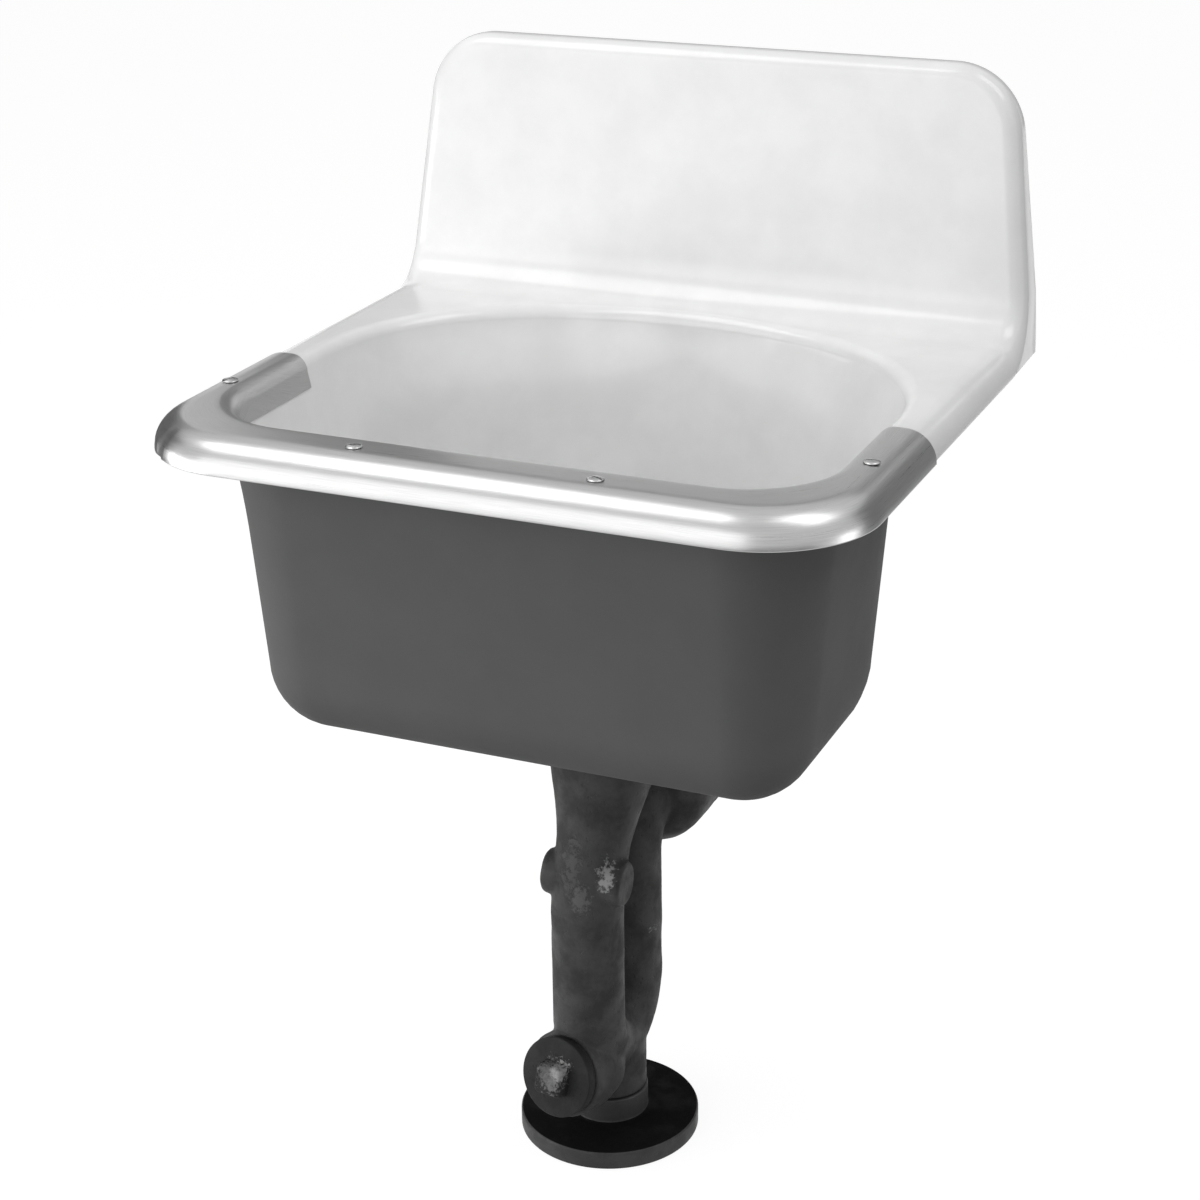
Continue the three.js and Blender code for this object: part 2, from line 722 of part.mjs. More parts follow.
function outletGasketRing() {
  const low = trapTop + touchGap;
  const ring = flatRing(trapFlangeDiameter / 2, outletBore / 2 + gasketBoreMargin, low, low + outletGasket);
  return cut(ring, ...boltHoles(low - cutPast, low + outletGasket + cutPast));
}

function strainerBolt() {
  const end = trapTop - boltThread;
  const under = strainerTop + touchGap;
  const head = boltHeadDiameter / 2;
  const shank = boltDiameter / 2;
  return turned(
    [
      [0, end],
      [shank - boltPointBevel, end],
      [shank, end + boltPointBevel],
      [shank, under],
      [head, under],
      [head - boltHeadBevel, under + boltHeadHeight - boltHeadBevel],
      [0, under + boltHeadHeight],
    ],
    smallSides,
  );
}

// ---------------------------------------------------------------- the trap
// The trap's centre line lies in the plane x = 0: from the inlet forward into the front leg, round the
// bend at the bottom, up the rear leg and back towards the wall. Each point has its two radii.
function trapLine() {
  const points = [];
  const add = (y, z, radius, bore) => points.push({ y, z, radius, bore });
  const swaySteps = 10;
  const swayEnd = trapTop - swayStartDrop - swayLength;
  for (let i = 0; i <= swaySteps; i++) {
    const z = mix(trapTop, swayEnd, i / swaySteps);
    const sway = smooth((trapTop - swayStartDrop - z) / swayLength);
    const cone = smooth((trapTop - coneStartDrop - z) / coneLength);
    const radius = mix(inletDiameter, legDiameter, cone) / 2;
    const bore = mix(inletWaterway, waterway, cone) / 2;
    add(mix(-outletFromWall, frontLeg, sway), z, radius, bore);
  }
  const pipe = legDiameter / 2;
  const bore = waterway / 2;
  const bendSteps = 10;
  const bendRadius = legSpacing / 2;
  for (let i = 0; i <= bendSteps; i++) {
    const angle = Math.PI * (1 + i / bendSteps);
    const y = -outletFromWall + bendRadius * Math.cos(angle);
    add(y, -bendLevel + bendRadius * Math.sin(angle), pipe, bore);
  }
  const armSteps = 5;
  for (let i = 0; i <= armSteps; i++) {
    const angle = Math.PI - (Math.PI / 2) * (i / armSteps);
    const y = rearLeg + armBendRadius * (1 + Math.cos(angle));
    add(y, -armLevel - armBendRadius * (1 - Math.sin(angle)), pipe, bore);
  }
  add(-hubFaceFromWall - hubSocketDepth + 1, -armLevel, pipe, bore);
  return points;
}

function trapRings(line, radiusOf) {
  return line.map((point, i) => {
    const before = line[Math.max(0, i - 1)];
    const after = line[Math.min(line.length - 1, i + 1)];
    const along = new THREE.Vector2(after.y - before.y, after.z - before.z).normalize();
    if (i === 0) along.set(0, -1);
    const ring = [];
    for (let k = 0; k < pipeSides; k++) {
      const angle = (2 * Math.PI * k) / pipeSides;
      const side = radiusOf(point) * Math.cos(angle);
      const across = radiusOf(point) * Math.sin(angle);
      ring.push(new THREE.Vector3(side, point.y - along.y * across, point.z + along.x * across));
    }
    return ring;
  });
}

function trapPipe(line, radiusOf) {
  const centres = line.map((point) => new THREE.Vector3(0, point.y, point.z));
  return pipeSolid(trapRings(line, radiusOf), centres);
}

// The hub for the waste pipe, with its rounded shoulder, turned round the arm's axis.
function outletHub() {
  const radius = hubDiameter / 2;
  const length = hubLength;
  const profile = [[0, -length - hubShoulderLength]];
  for (let i = 1; i <= rollSteps + 1; i++) {
    const angle = (Math.PI / 2) * (i / (rollSteps + 1));
    profile.push([radius * Math.sin(angle), -length - hubShoulderLength * Math.cos(angle)]);
  }
  profile.push([radius, -castEdgeBevel]);
  profile.push([radius - castEdgeBevel, 0]);
  profile.push([0, 0]);
  const place = at(0, -hubFaceFromWall, -armLevel).multiply(new THREE.Matrix4().makeRotationX(-Math.PI / 2));
  return placed(turned(profile), place);
}

function alongY(y0, y1, level, radius, sides = roundSides) {
  const geometry = new THREE.CylinderGeometry(radius, radius, y1 - y0, sides);
  return placed(geometry, at(0, (y0 + y1) / 2, level));
}

function sideBosses() {
  const geometry = new THREE.CylinderGeometry(bossDiameter / 2, bossDiameter / 2, bossSpan, pipeSides);
  const turn = new THREE.Matrix4().makeRotationZ(Math.PI / 2);
  return placed(geometry, at(0, frontLeg, -bossLevel).multiply(turn));
}

// The cleanout's own frame: +Z points out of the barrel, and z = 0 is the face of the plug's disc.
function cleanoutFrame() {
  const place = new THREE.Matrix4().makeRotationZ(-radians(barrelTurn));
  place.multiply(new THREE.Matrix4().makeRotationX(Math.PI / 2 - radians(barrelTilt)));
  return at(-plugFaceSide, -plugFaceFromWall, -plugFaceLevel).multiply(place);
}

const discBack = -plugDiscThickness;
const barrelFace = discBack - cleanoutGasket - 2 * touchGap;

function cleanoutBarrel() {
  const root = barrelFace - barrelLength;
  const profile = [
    [0, root],
    [barrelRootDiameter / 2, root],
    [barrelDiameter / 2, barrelFace - barrelLength / 2],
    [barrelDiameter / 2, barrelFace - facedEdgeBevel],
    [barrelDiameter / 2 - facedEdgeBevel, barrelFace],
    [0, barrelFace],
  ];
  return placed(turned(profile), cleanoutFrame());
}

function cleanoutBore() {
  const radius = plugShankDiameter / 2 + cleanoutClearance;
  const end = barrelFace - plugShankLength - boreEndGap;
  const profile = [
    [0, end - boreThroatLength],
    [boreThroat / 2, end - boreThroatLength],
    [radius, end],
    [radius, barrelFace + cutPast],
    [0, barrelFace + cutPast],
  ];
  return placed(turned(profile), cleanoutFrame());
}

// The leg is faced away round the disc, so that the plug turns clear of it.
function cleanoutSpotFace() {
  const radius = Math.max(plugDiameter, barrelDiameter) / 2 + spotFaceMargin;
  const profile = [
    [0, barrelFace],
    [radius, barrelFace],
    [radius, plugHeadHeight],
    [0, plugHeadHeight],
  ];
  return placed(turned(profile), cleanoutFrame());
}

function trapCasting() {
  const line = trapLine();
  const outside = joined(
    trapPipe(line, (point) => point.radius),
    upright(0, -outletFromWall, trapFlangeUnderside, trapTop, trapFlangeDiameter / 2),
    outletHub(),
    sideBosses(),
    cleanoutBarrel(),
    upright(0, -outletFromWall, -stubBottomLevel, -bendLevel - legSpacing / 2, stubDiameter / 2),
  );
  const first = line[0];
  const last = line[line.length - 1];
  const start = { ...first, z: first.z + cutPast };
  const end = { ...last, y: last.y + cutPast };
  const through = [start, ...line.slice(1, -1), end];
  const socketTop = -stubBottomLevel + stubSocketDepth;
  return cut(
    outside,
    trapPipe(through, (point) => point.bore),
    alongY(-hubFaceFromWall - hubSocketDepth, -hubFaceFromWall + cutPast, -armLevel, hubSocket / 2),
    cleanoutBore(),
    cleanoutSpotFace(),
    upright(0, -outletFromWall, -stubBottomLevel - cutPast, socketTop, nippleDiameter / 2 + nippleClearance),
    ...boltHoles(trapTop - boltThread - boltEndGap, trapTop + cutPast),
  );
}

// ---------------------------------------------------------------- the cleanout's plug and gasket
function cleanoutPlug() {
  const disc = plugDiameter / 2;
  const shank = plugShankDiameter / 2;
  const profile = [
    [0, discBack - cleanoutGasket - plugShankLength],
    [shank - plugEndBevel, discBack - cleanoutGasket - plugShankLength],
    [shank, discBack - cleanoutGasket - plugShankLength + plugEndBevel],
    [shank, discBack],
    [disc, discBack],
    [disc, -facedEdgeBevel],
    [disc - facedEdgeBevel, 0],
    [0, 0],
  ];
  const half = plugHeadWidth / 2;
  const turn = new THREE.Matrix4().makeRotationZ(Math.PI / 4);
  const rootCorner = half * Math.SQRT2;
  const topCorner = rootCorner * plugHeadTaper;
  const length = plugHeadHeight + plugHeadRoot;
  const head = new THREE.CylinderGeometry(topCorner, rootCorner, length, 4).applyMatrix4(standUp);
  head.applyMatrix4(at(0, 0, (plugHeadHeight - plugHeadRoot) / 2).multiply(turn));
  return joined(placed(turned(profile), cleanoutFrame()), placed(head, cleanoutFrame()));
}

function cleanoutGasketRing() {
  const inner = plugShankDiameter / 2 + cleanoutClearance;
  const outer = cleanoutGasketDiameter / 2;
  const front = discBack - touchGap;
  const back = front - cleanoutGasket;
  const profile = [
    [inner, back],
    [outer, back],
    [outer, front],
    [inner, front],
    [inner, back],
  ];
  return placed(turned(profile), cleanoutFrame());
}

// ---------------------------------------------------------------- the foot
function floorFlange() {
  const rim = flangeDiameter / 2;
  const hub = footHubDiameter / 2;
  const bore = nippleDiameter / 2 + nippleClearance;
  const low = -floorToRim;
  const plateTop = low + flangeThickness;
  const hubTop = -stubBottomLevel - touchGap;
  const profile = [
    [bore, low],
    [rim - flangeBevel / 2, low],
    [rim, low + flangeBevel],
    [rim, plateTop - flangeBevel],
    [rim - flangeBevel, plateTop],
    [hub, plateTop],
    [hub, hubTop - flangeBevel / 2],
    [hub - flangeBevel / 2, hubTop],
    [bore, hubTop],
    [bore, low],
  ];
  return placed(turned(profile), at(0, -outletFromWall, 0));
}

function adjustingNipple() {
  const top = -stubBottomLevel + stubSocketDepth - touchGap;
  return upright(0, -outletFromWall, -floorToRim + nippleAboveFloor, top, nippleDiameter / 2, roundSides);
}

// ---------------------------------------------------------------- the wall hangers
// A plate on the wall with a lip in front, in whose trough the casting's hook hangs.
function wallHanger(x) {
  const trough = hookHeight - hookLipLength - touchGap;
  const lipBack = -hangerThickness - hangerPlay - hookLip - 2 * touchGap;
  const lipFront = lipBack - hangerThickness;
  const low = hookHeight - hookLipLength - hangerBelowHook;
  const outline = new THREE.Shape();
  outline.moveTo(0, low);
  outline.lineTo(0, low + hangerHeight);
  outline.lineTo(-hangerThickness, low + hangerHeight);
  outline.lineTo(-hangerThickness, trough);
  outline.lineTo(lipBack, trough);
  outline.lineTo(lipBack, trough + hangerLipHeight - hangerThickness);
  outline.lineTo(lipFront, trough + hangerLipHeight - hangerThickness);
  outline.lineTo(lipFront, trough - hangerThickness);
  outline.lineTo(-hangerThickness, trough - hangerThickness - hangerWeb);
  outline.lineTo(-hangerThickness, low);
  outline.closePath();
  const geometry = new THREE.ExtrudeGeometry(outline, { depth: hangerWidth, bevelEnabled: false });
  const basis = new THREE.Matrix4().makeBasis(
    new THREE.Vector3(0, 1, 0),
    new THREE.Vector3(0, 0, 1),
    new THREE.Vector3(1, 0, 0),
  );
  const plate = placed(geometry, at(x - hangerWidth / 2, 0, 0).multiply(basis));
  const hole = (z) => {
    const radius = hangerScrewHole / 2;
    const drill = new THREE.CylinderGeometry(radius, radius, 3 * hangerThickness, drillSides);
    return placed(drill, at(x, -hangerThickness / 2, z));
  };
  return cut(plate, hole(low + hangerScrewInset), hole(low + hangerHeight - hangerScrewInset));
}

// ---------------------------------------------------------------- materials
function finish(color, roughness, metalness) {
  return new THREE.MeshStandardMaterial({ color, roughness, metalness });
}

const enamel = finish(0xececea, 0.12, 0);
const satinSteel = finish(0xa9aaab, 0.35, 1);
const brightSteel = finish(0xb8b8b8, 0.25, 1);
const blackIron = finish(0x3a3a3b, 0.6, 0.4);
const darkIron = finish(0x232324, 0.6, 0.4);
const rubber = finish(0x0d0d0d, 0.8, 0);
const plainSteel = finish(0x6f7072, 0.45, 1);

// ---------------------------------------------------------------- the assembly
const sink = new THREE.Group();
const hardware = new THREE.Group();
const trap = new THREE.Group();
sink.add(hardware);
sink.add(trap);

function add(group, name, shape, material, position = [0, 0, 0]) {
  const geometry = shape.isBufferGeometry ? shape : geometryOf(shape);
  const mesh = new THREE.Mesh(geometry, material);
  mesh.name = name;
  mesh.position.set(...position);
  group.add(mesh);
}

add(sink, "sink_casting", sinkCasting(), enamel);
add(sink, "rim_guard", rimGuard(), satinSteel);
for (const [place, [x, y]] of Object.entries(guardScrewPlaces)) {
  add(hardware, `rim_guard_screw_${place}`, guardScrew(), brightSteel, [x, y, 0]);
}
add(hardware, "strainer_plate", strainerPlate(), brightSteel);
add(hardware, "strainer_gasket", strainerGasketRing(), rubber);
boltPlaces.forEach(([x, y], i) => {
  add(hardware, `strainer_bolt_${i + 1}`, strainerBolt(), brightSteel, [x, y, 0]);
});
add(trap, "outlet_gasket", outletGasketRing(), rubber);
add(trap, "trap_casting", trapCasting(), blackIron);
add(trap, "cleanout_gasket", cleanoutGasketRing(), rubber);
add(trap, "cleanout_plug", cleanoutPlug(), blackIron);
add(trap, "adjusting_nipple", adjustingNipple(), plainSteel);
add(trap, "floor_flange", floorFlange(), darkIron);
add(sink, "wall_hanger_left", wallHanger(hookPlaces[0]), plainSteel);
add(sink, "wall_hanger_right", wallHanger(hookPlaces[1]), plainSteel);

export default sink;
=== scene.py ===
"""Looks of a wall-hung mop service sink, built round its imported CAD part.

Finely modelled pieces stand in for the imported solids, every piece gets its finish, and a plain studio is
set round them. Sizes are in metres in the frame of the CAD part: +X is to the right seen from the front,
+Y goes back to the wall and +Z is up. The level of the rim at the wall is the origin.
"""

import logging
import math
from dataclasses import dataclass
from enum import Enum
from typing import Callable, Optional, Sequence

import bpy
import numpy as np
from mathutils import Matrix, Vector, noise


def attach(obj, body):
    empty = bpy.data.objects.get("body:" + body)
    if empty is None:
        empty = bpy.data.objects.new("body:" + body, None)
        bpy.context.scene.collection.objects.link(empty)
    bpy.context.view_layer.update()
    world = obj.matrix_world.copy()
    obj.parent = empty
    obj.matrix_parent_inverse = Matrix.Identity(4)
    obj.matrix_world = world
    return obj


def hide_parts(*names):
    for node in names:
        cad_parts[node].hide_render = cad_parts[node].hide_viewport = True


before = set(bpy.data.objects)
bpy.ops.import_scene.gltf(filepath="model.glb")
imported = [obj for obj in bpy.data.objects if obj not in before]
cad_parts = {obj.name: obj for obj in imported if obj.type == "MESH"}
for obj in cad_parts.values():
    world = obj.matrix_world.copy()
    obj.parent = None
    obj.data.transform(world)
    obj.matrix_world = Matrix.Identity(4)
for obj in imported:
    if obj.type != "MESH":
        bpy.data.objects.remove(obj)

log = logging.getLogger("service_sink")
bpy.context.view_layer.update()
LAY_MAP = "sheet_lay"
SHARP_FROM = math.radians(38)
QUARTER = math.pi / 2
WHOLE = 2 * math.pi

Face = tuple[int, ...]
Profile = list[tuple[float, float]]


# ------------------------------------------------------------------ meshes
@dataclass
class MeshData:
    """Points and faces of one closed shape, with a finish number for each face.

    Attributes:
        points: an array of N rows of x, y and z.
        faces: the corners of each face, counter-clockwise seen from outside.
        slots: the number of each face's finish, or nothing where all have the first.
        lay: a place along and across the sheet for each point, for brushed metal.
    """

    points: np.ndarray
    faces: list[Face]
    slots: Optional[list[int]] = None
    lay: Optional[np.ndarray] = None

    def moved(self, place: Matrix) -> "MeshData":
        """The same shape, turned and moved by place.

        Args:
            place: the turn and the move.

        Returns:
            The moved shape.
        """
        turn = np.array(place.to_3x3())
        points = self.points @ turn.T + np.array(place.translation)
        return MeshData(points, self.faces, self.slots, self.lay)

    def mesh(self, name: str) -> bpy.types.Mesh:
        """A Blender mesh of this shape.

        Args:
            name: the mesh's name.

        Returns:
            The mesh.
        """
        mesh = bpy.data.meshes.new(name)
        mesh.from_pydata([tuple(p) for p in self.points], [], self.faces)
        if self.slots is not None:
            mesh.polygons.foreach_set("material_index", self.slots)
        if self.lay is not None:
            layer = mesh.uv_layers.new(name=LAY_MAP)
            corners = np.empty(len(mesh.loops), np.int32)
            mesh.loops.foreach_get("vertex_index", corners)
            layer.data.foreach_set("uv", self.lay[corners].astype(np.float32).ravel())
        mesh.validate()
        return mesh


Shape = MeshData | bpy.types.Mesh


class Operation(Enum):
    """What a tool does to the shape it meets."""

    CUT = "DIFFERENCE"
    JOIN = "UNION"


def linked(name: str, data: bpy.types.ID) -> bpy.types.Object:
    """A new object on its data, in the scene.

    Args:
        name: the object's name.
        data: its mesh, lamp or camera.

    Returns:
        The object.
    """
    made = bpy.data.objects.new(name, data)
    bpy.context.scene.collection.objects.link(made)
    return made


def together(parts: Sequence[MeshData]) -> MeshData:
    """Several shapes as one set of points and faces.

    Args:
        parts: the shapes, which may overlap.

    Returns:
        One MeshData whose points follow each other in order.
    """
    points, faces, start = [], [], 0
    for part in parts:
        points.append(part.points)
        faces += [tuple(corner + start for corner in face) for face in part.faces]
        start += len(part.points)
    return MeshData(np.concatenate(points), faces)


def grid_faces(rows: int, columns: int, wrap_rows: bool = False, wrap_columns: bool = True) -> list[Face]:
    """Quads of a grid of points.

    Args:
        rows: how many rows the grid has.
        columns: how many points a row has.
        wrap_rows: whether the last row joins the first.
        wrap_columns: whether each row closes on itself.

    Returns:
        The corners of each quad, row by row.
    """
    faces = []
    for i in range(rows if wrap_rows else rows - 1):
        below = ((i + 1) % rows) * columns
        for j in range(columns if wrap_columns else columns - 1):
            after = (j + 1) % columns
            faces.append((i * columns + j, below + j, below + after, i * columns + after))
    return faces


def finished_mesh(mesh: bpy.types.Mesh, finishes: Sequence["Finish"], sharp: float = SHARP_FROM) -> None:
    """Smooths a mesh except at its sharp edges and gives it its finishes.

    Args:
        mesh: the mesh to finish.
        finishes: one finish for each material number of its faces.
        sharp: the angle between faces from which an edge stays sharp.
    """
    mesh.polygons.foreach_set("use_smooth", [True] * len(mesh.polygons))
    mesh.set_sharp_from_angle(angle=sharp)
    numbers = np.zeros(len(mesh.polygons), np.int32)
    mesh.polygons.foreach_get("material_index", numbers)
    mesh.materials.clear()
    for finish in finishes:
        mesh.materials.append(finish.material())
    mesh.polygons.foreach_set("material_index", numbers)


def place_piece(
    name: str,
    shape: Shape,
    finishes: Sequence["Finish"],
    body: str,
    nodes: Sequence[str] = (),
    sharp: float = SHARP_FROM,
) -> bpy.types.Object:
    """Makes one visible piece, rides it on its body and hides the CAD nodes that it stands for.

    Args:
        name: the piece's name.
        shape: its shape, in place in the frame of the CAD part.
        finishes: its finishes, in the order of its faces' material numbers.
        body: the CAD body that it moves with.
        nodes: the CAD nodes that it stands for.
        sharp: the angle between faces from which an edge stays sharp.

    Returns:
        The new object.
    """
    mesh = shape.mesh(name) if isinstance(shape, MeshData) else shape
    finished_mesh(mesh, finishes, sharp)
    piece = linked(name, mesh)
    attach(piece, body)
    if nodes:
        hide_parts(*nodes)
    log.info("%s: %d faces, on body %s", name, len(mesh.polygons), body)
    return piece


def applied(shape: Shape, add_modifiers: Callable[[bpy.types.Object], None]) -> bpy.types.Mesh:
    """A mesh after modifiers, with nothing left behind in the scene.

    Args:
        shape: the shape to start from.
        add_modifiers: a function that adds the modifiers to a scratch object.

    Returns:
        A new mesh with the modifiers applied.
    """
    scratch = linked("scratch", shape.mesh("scratch") if isinstance(shape, MeshData) else shape)
    add_modifiers(scratch)
    graph = bpy.context.evaluated_depsgraph_get()
    graph.update()
    result = bpy.data.meshes.new_from_object(scratch.evaluated_get(graph))
    bpy.data.objects.remove(scratch)
    return result


def combined(shape: Shape, tools: Sequence[Shape], operation: Operation = Operation.CUT) -> bpy.types.Mesh:
    """A shape with other shapes cut out of it or joined to it.

    Args:
        shape: the shape to start from.
        tools: the shapes that are taken away or added.
        operation: what the tools do.

    Returns:
        The new mesh.
    """
    others = [linked("tool", tool.mesh("tool") if isinstance(tool, MeshData) else tool) for tool in tools]

    def add(scratch: bpy.types.Object) -> None:
        """Adds one step for each tool."""
        for other in others:
            step = scratch.modifiers.new("tool", "BOOLEAN")
            step.operation = operation.value
            step.solver = "MANIFOLD"
            step.object = other

    result = applied(shape, add)
    for other in others:
        bpy.data.objects.remove(other)
    return result


def run_together(shape: MeshData, voxel: float, soften_steps: int) -> bpy.types.Mesh:
    """Fuses overlapping shapes into one skin and softens its corners.

    Args:
        shape: the shapes as one MeshData.
        voxel: how fine the new skin is.
        soften_steps: how often it is smoothed.

    Returns:
        The new mesh.
    """

    def add(scratch: bpy.types.Object) -> None:
        """Adds both steps."""
        fuse = scratch.modifiers.new("fuse", "REMESH")
        fuse.mode = "VOXEL"
        fuse.voxel_size = voxel
        soften = scratch.modifiers.new("soften", "SMOOTH")
        soften.factor = 0.5
        soften.iterations = soften_steps

    return applied(shape, add)


def move_skin(mesh: bpy.types.Mesh, how_far: Callable[[Vector], float]) -> None:
    """Moves each point of a mesh along its normal.

    Args:
        mesh: the mesh to change.
        how_far: gives the way outwards for a point.
    """
    count = len(mesh.vertices)
    places, normals = np.empty(count * 3, np.float32), np.empty(count * 3, np.float32)
    mesh.vertices.foreach_get("co", places)
    mesh.vertex_normals.foreach_get("vector", normals)
    ways = np.array([how_far(Vector(p)) for p in places.reshape(-1, 3)], np.float32)
    moved = places.reshape(-1, 3) + normals.reshape(-1, 3) * ways[:, None]
    mesh.vertices.foreach_set("co", moved.ravel())
    mesh.update()


# ------------------------------------------------------------------ profiles and turned shapes
def mix(a: float, b: float, t: float) -> float:
    """The value a share t of the way from a to b."""
    return a + (b - a) * t


def smooth(t: float) -> float:
    """A share eased at both ends."""
    c = min(1.0, max(0.0, t))
    return c * c * (3 - 2 * c)


def spread(low: float, high: float, count: int) -> list[float]:
    """Values from low to high in count equal steps."""
    return [mix(low, high, i / count) for i in range(count + 1)]


def rounded(corners: Sequence[tuple[float, float, float]], steps: int = 5, closed: bool = False) -> Profile:
    """An outline whose corners are rounded.

    Args:
        corners: each corner's two places and the radius of its rounding.
        steps: how many steps each rounding has.
        closed: whether the outline joins its last corner to its first.

    Returns:
        The points of the outline.
    """
    points: Profile = []
    count = len(corners)
    for i, (x, y, radius) in enumerate(corners):
        corner = Vector((x, y))
        if radius <= 0 or (not closed and i in (0, count - 1)):
            points.append((x, y))
            continue
        before = Vector(corners[i - 1][:2]) - corner
        after = Vector(corners[(i + 1) % count][:2]) - corner
        half = before.angle(after) / 2
        reach = radius / math.tan(half)
        one_way, other_way = before.normalized(), after.normalized()
        middle = corner + (one_way + other_way).normalized() * (radius / math.sin(half))
        start = corner + one_way * reach - middle
        sweep = start.angle_signed(corner + other_way * reach - middle)
        for k in range(steps + 1):
            turn = Matrix.Rotation(-sweep * k / steps, 2)
            point = middle + turn @ start
            points.append((point.x, point.y))
    return points


def turned(profile: Sequence[tuple[float | np.ndarray, float]], sides: int = 96) -> MeshData:
    """A shape turned round the Z axis.

    Args:
        profile: radius and height of each row, from the lowest point on the axis to the highest, or round
            a closed section. A radius may be an array with a value for each side.
        sides: how many sides the round has.

    Returns:
        The turned shape.
    """
    angles = np.linspace(0, WHOLE, sides, endpoint=False)
    on_axis = [np.all(np.asarray(radius) == 0) for radius, _ in profile]
    rows = [row for row, axis in zip(profile, on_axis) if not axis]
    closed = not any(on_axis)
    points = [
        np.stack([radius * np.cos(angles), radius * np.sin(angles), np.full(sides, height)], axis=1)
        for radius, height in rows
    ]
    faces = [face[::-1] for face in grid_faces(len(rows), sides, wrap_rows=closed)]
    if not closed:
        first, last = len(rows) * sides, len(rows) * sides + 1
        points.append(np.array([[0, 0, profile[0][1]], [0, 0, profile[-1][1]]]))
        top = (len(rows) - 1) * sides
        for j in range(sides):
            after = (j + 1) % sides
            faces.append((first, after, j))
            faces.append((last, top + j, top + after))
    return MeshData(np.concatenate(points), faces)


def threaded(radius: float, depth: float, pitch: float, low: float, high: float, sides: int) -> list:
    """Rows of a screw thread for turned().

    Args:
        radius: the radius over the crests.
        depth: how deep the thread is.
        pitch: how far one turn rises.
        low: where the thread starts.
        high: where it ends.
        sides: how many sides the round has.

    Returns:
        A radius for each side and a height for each row.
    """
    share = np.arange(sides) / sides
    rows = []
    rows_a_turn = 8
    for height in spread(low, high, max(2, round((high - low) / pitch * rows_a_turn))):
        wave = 0.5 - 0.5 * np.cos(WHOLE * (height / pitch - share))
        fade = smooth((height - low) / pitch) * smooth((high - height) / pitch)
        rows.append((radius - depth * (1 - fade) - depth * fade * wave, height))
    return rows


def block(low: Sequence[float], high: Sequence[float], edge: float = 0.0) -> MeshData:
    """A rectangular block between two corners, its upright edges rounded.

    Args:
        low: the lowest corner.
        high: the highest corner.
        edge: the radius of the edges.

    Returns:
        The block.
    """
    corners = [(low[0], low[1]), (high[0], low[1]), (high[0], high[1]), (low[0], high[1])]
    return drawn_up(rounded([(x, y, edge) for x, y in corners], closed=True), low[2], high[2])


def drawn_up(outline: Profile, low: float, high: float) -> MeshData:
    """A prism on an outline in X and Y.

    Args:
        outline: the outline, counter-clockwise seen from above.
        low: the level of its underside.
        high: the level of its top.

    Returns:
        The prism.
    """
    return lofted([[(x, y, level) for x, y in outline] for level in (low, high)], upwards=True)


def lofted(rings: Sequence[Sequence[Sequence[float]]], upwards: bool = False) -> MeshData:
    """A shape through rings of points, flat at its two ends.

    Args:
        rings: the rings, each with as many points.
        upwards: whether each ring is counter-clockwise seen from the next one.

    Returns:
        The closed shape.
    """
    count = len(rings[0])
    last = (len(rings) - 1) * count
    faces: list[Face] = grid_faces(len(rings), count)
    faces += [tuple(range(count)), tuple(last + j for j in reversed(range(count)))]
    if upwards:
        faces = [face[::-1] for face in faces]
    return MeshData(np.array([tuple(p) for ring in rings for p in ring]), faces)


def cylinder(radius: float, low: float, high: float, edge: float = 0.0, sides: int = 96) -> MeshData:
    """A cylinder on the Z axis, its edges rounded.

    Args:
        radius: its radius.
        low: the level of its underside.
        high: the level of its top.
        edge: the radius of its edges.
        sides: how many sides the round has.

    Returns:
        The cylinder.
    """
    corners = [(0, low, 0), (radius, low, edge), (radius, high, edge), (0, high, 0)]
    return turned(rounded(corners), sides)


def slotted(profile: Profile, reach: float, width: float, low: float, high: float) -> bpy.types.Mesh:
    """A turned screw with a slot across its head.

    Args:
        profile: radius and height of each row, from the lowest point to the highest.
        reach: how far the slot's cutter goes to each side.
        width: the slot's width.
        low: the level of its floor.
        high: the level of the cutter's top.

    Returns:
        The screw.
    """
    return combined(turned(profile, 48), [block((-reach, -width / 2, low), (reach, width / 2, high))])


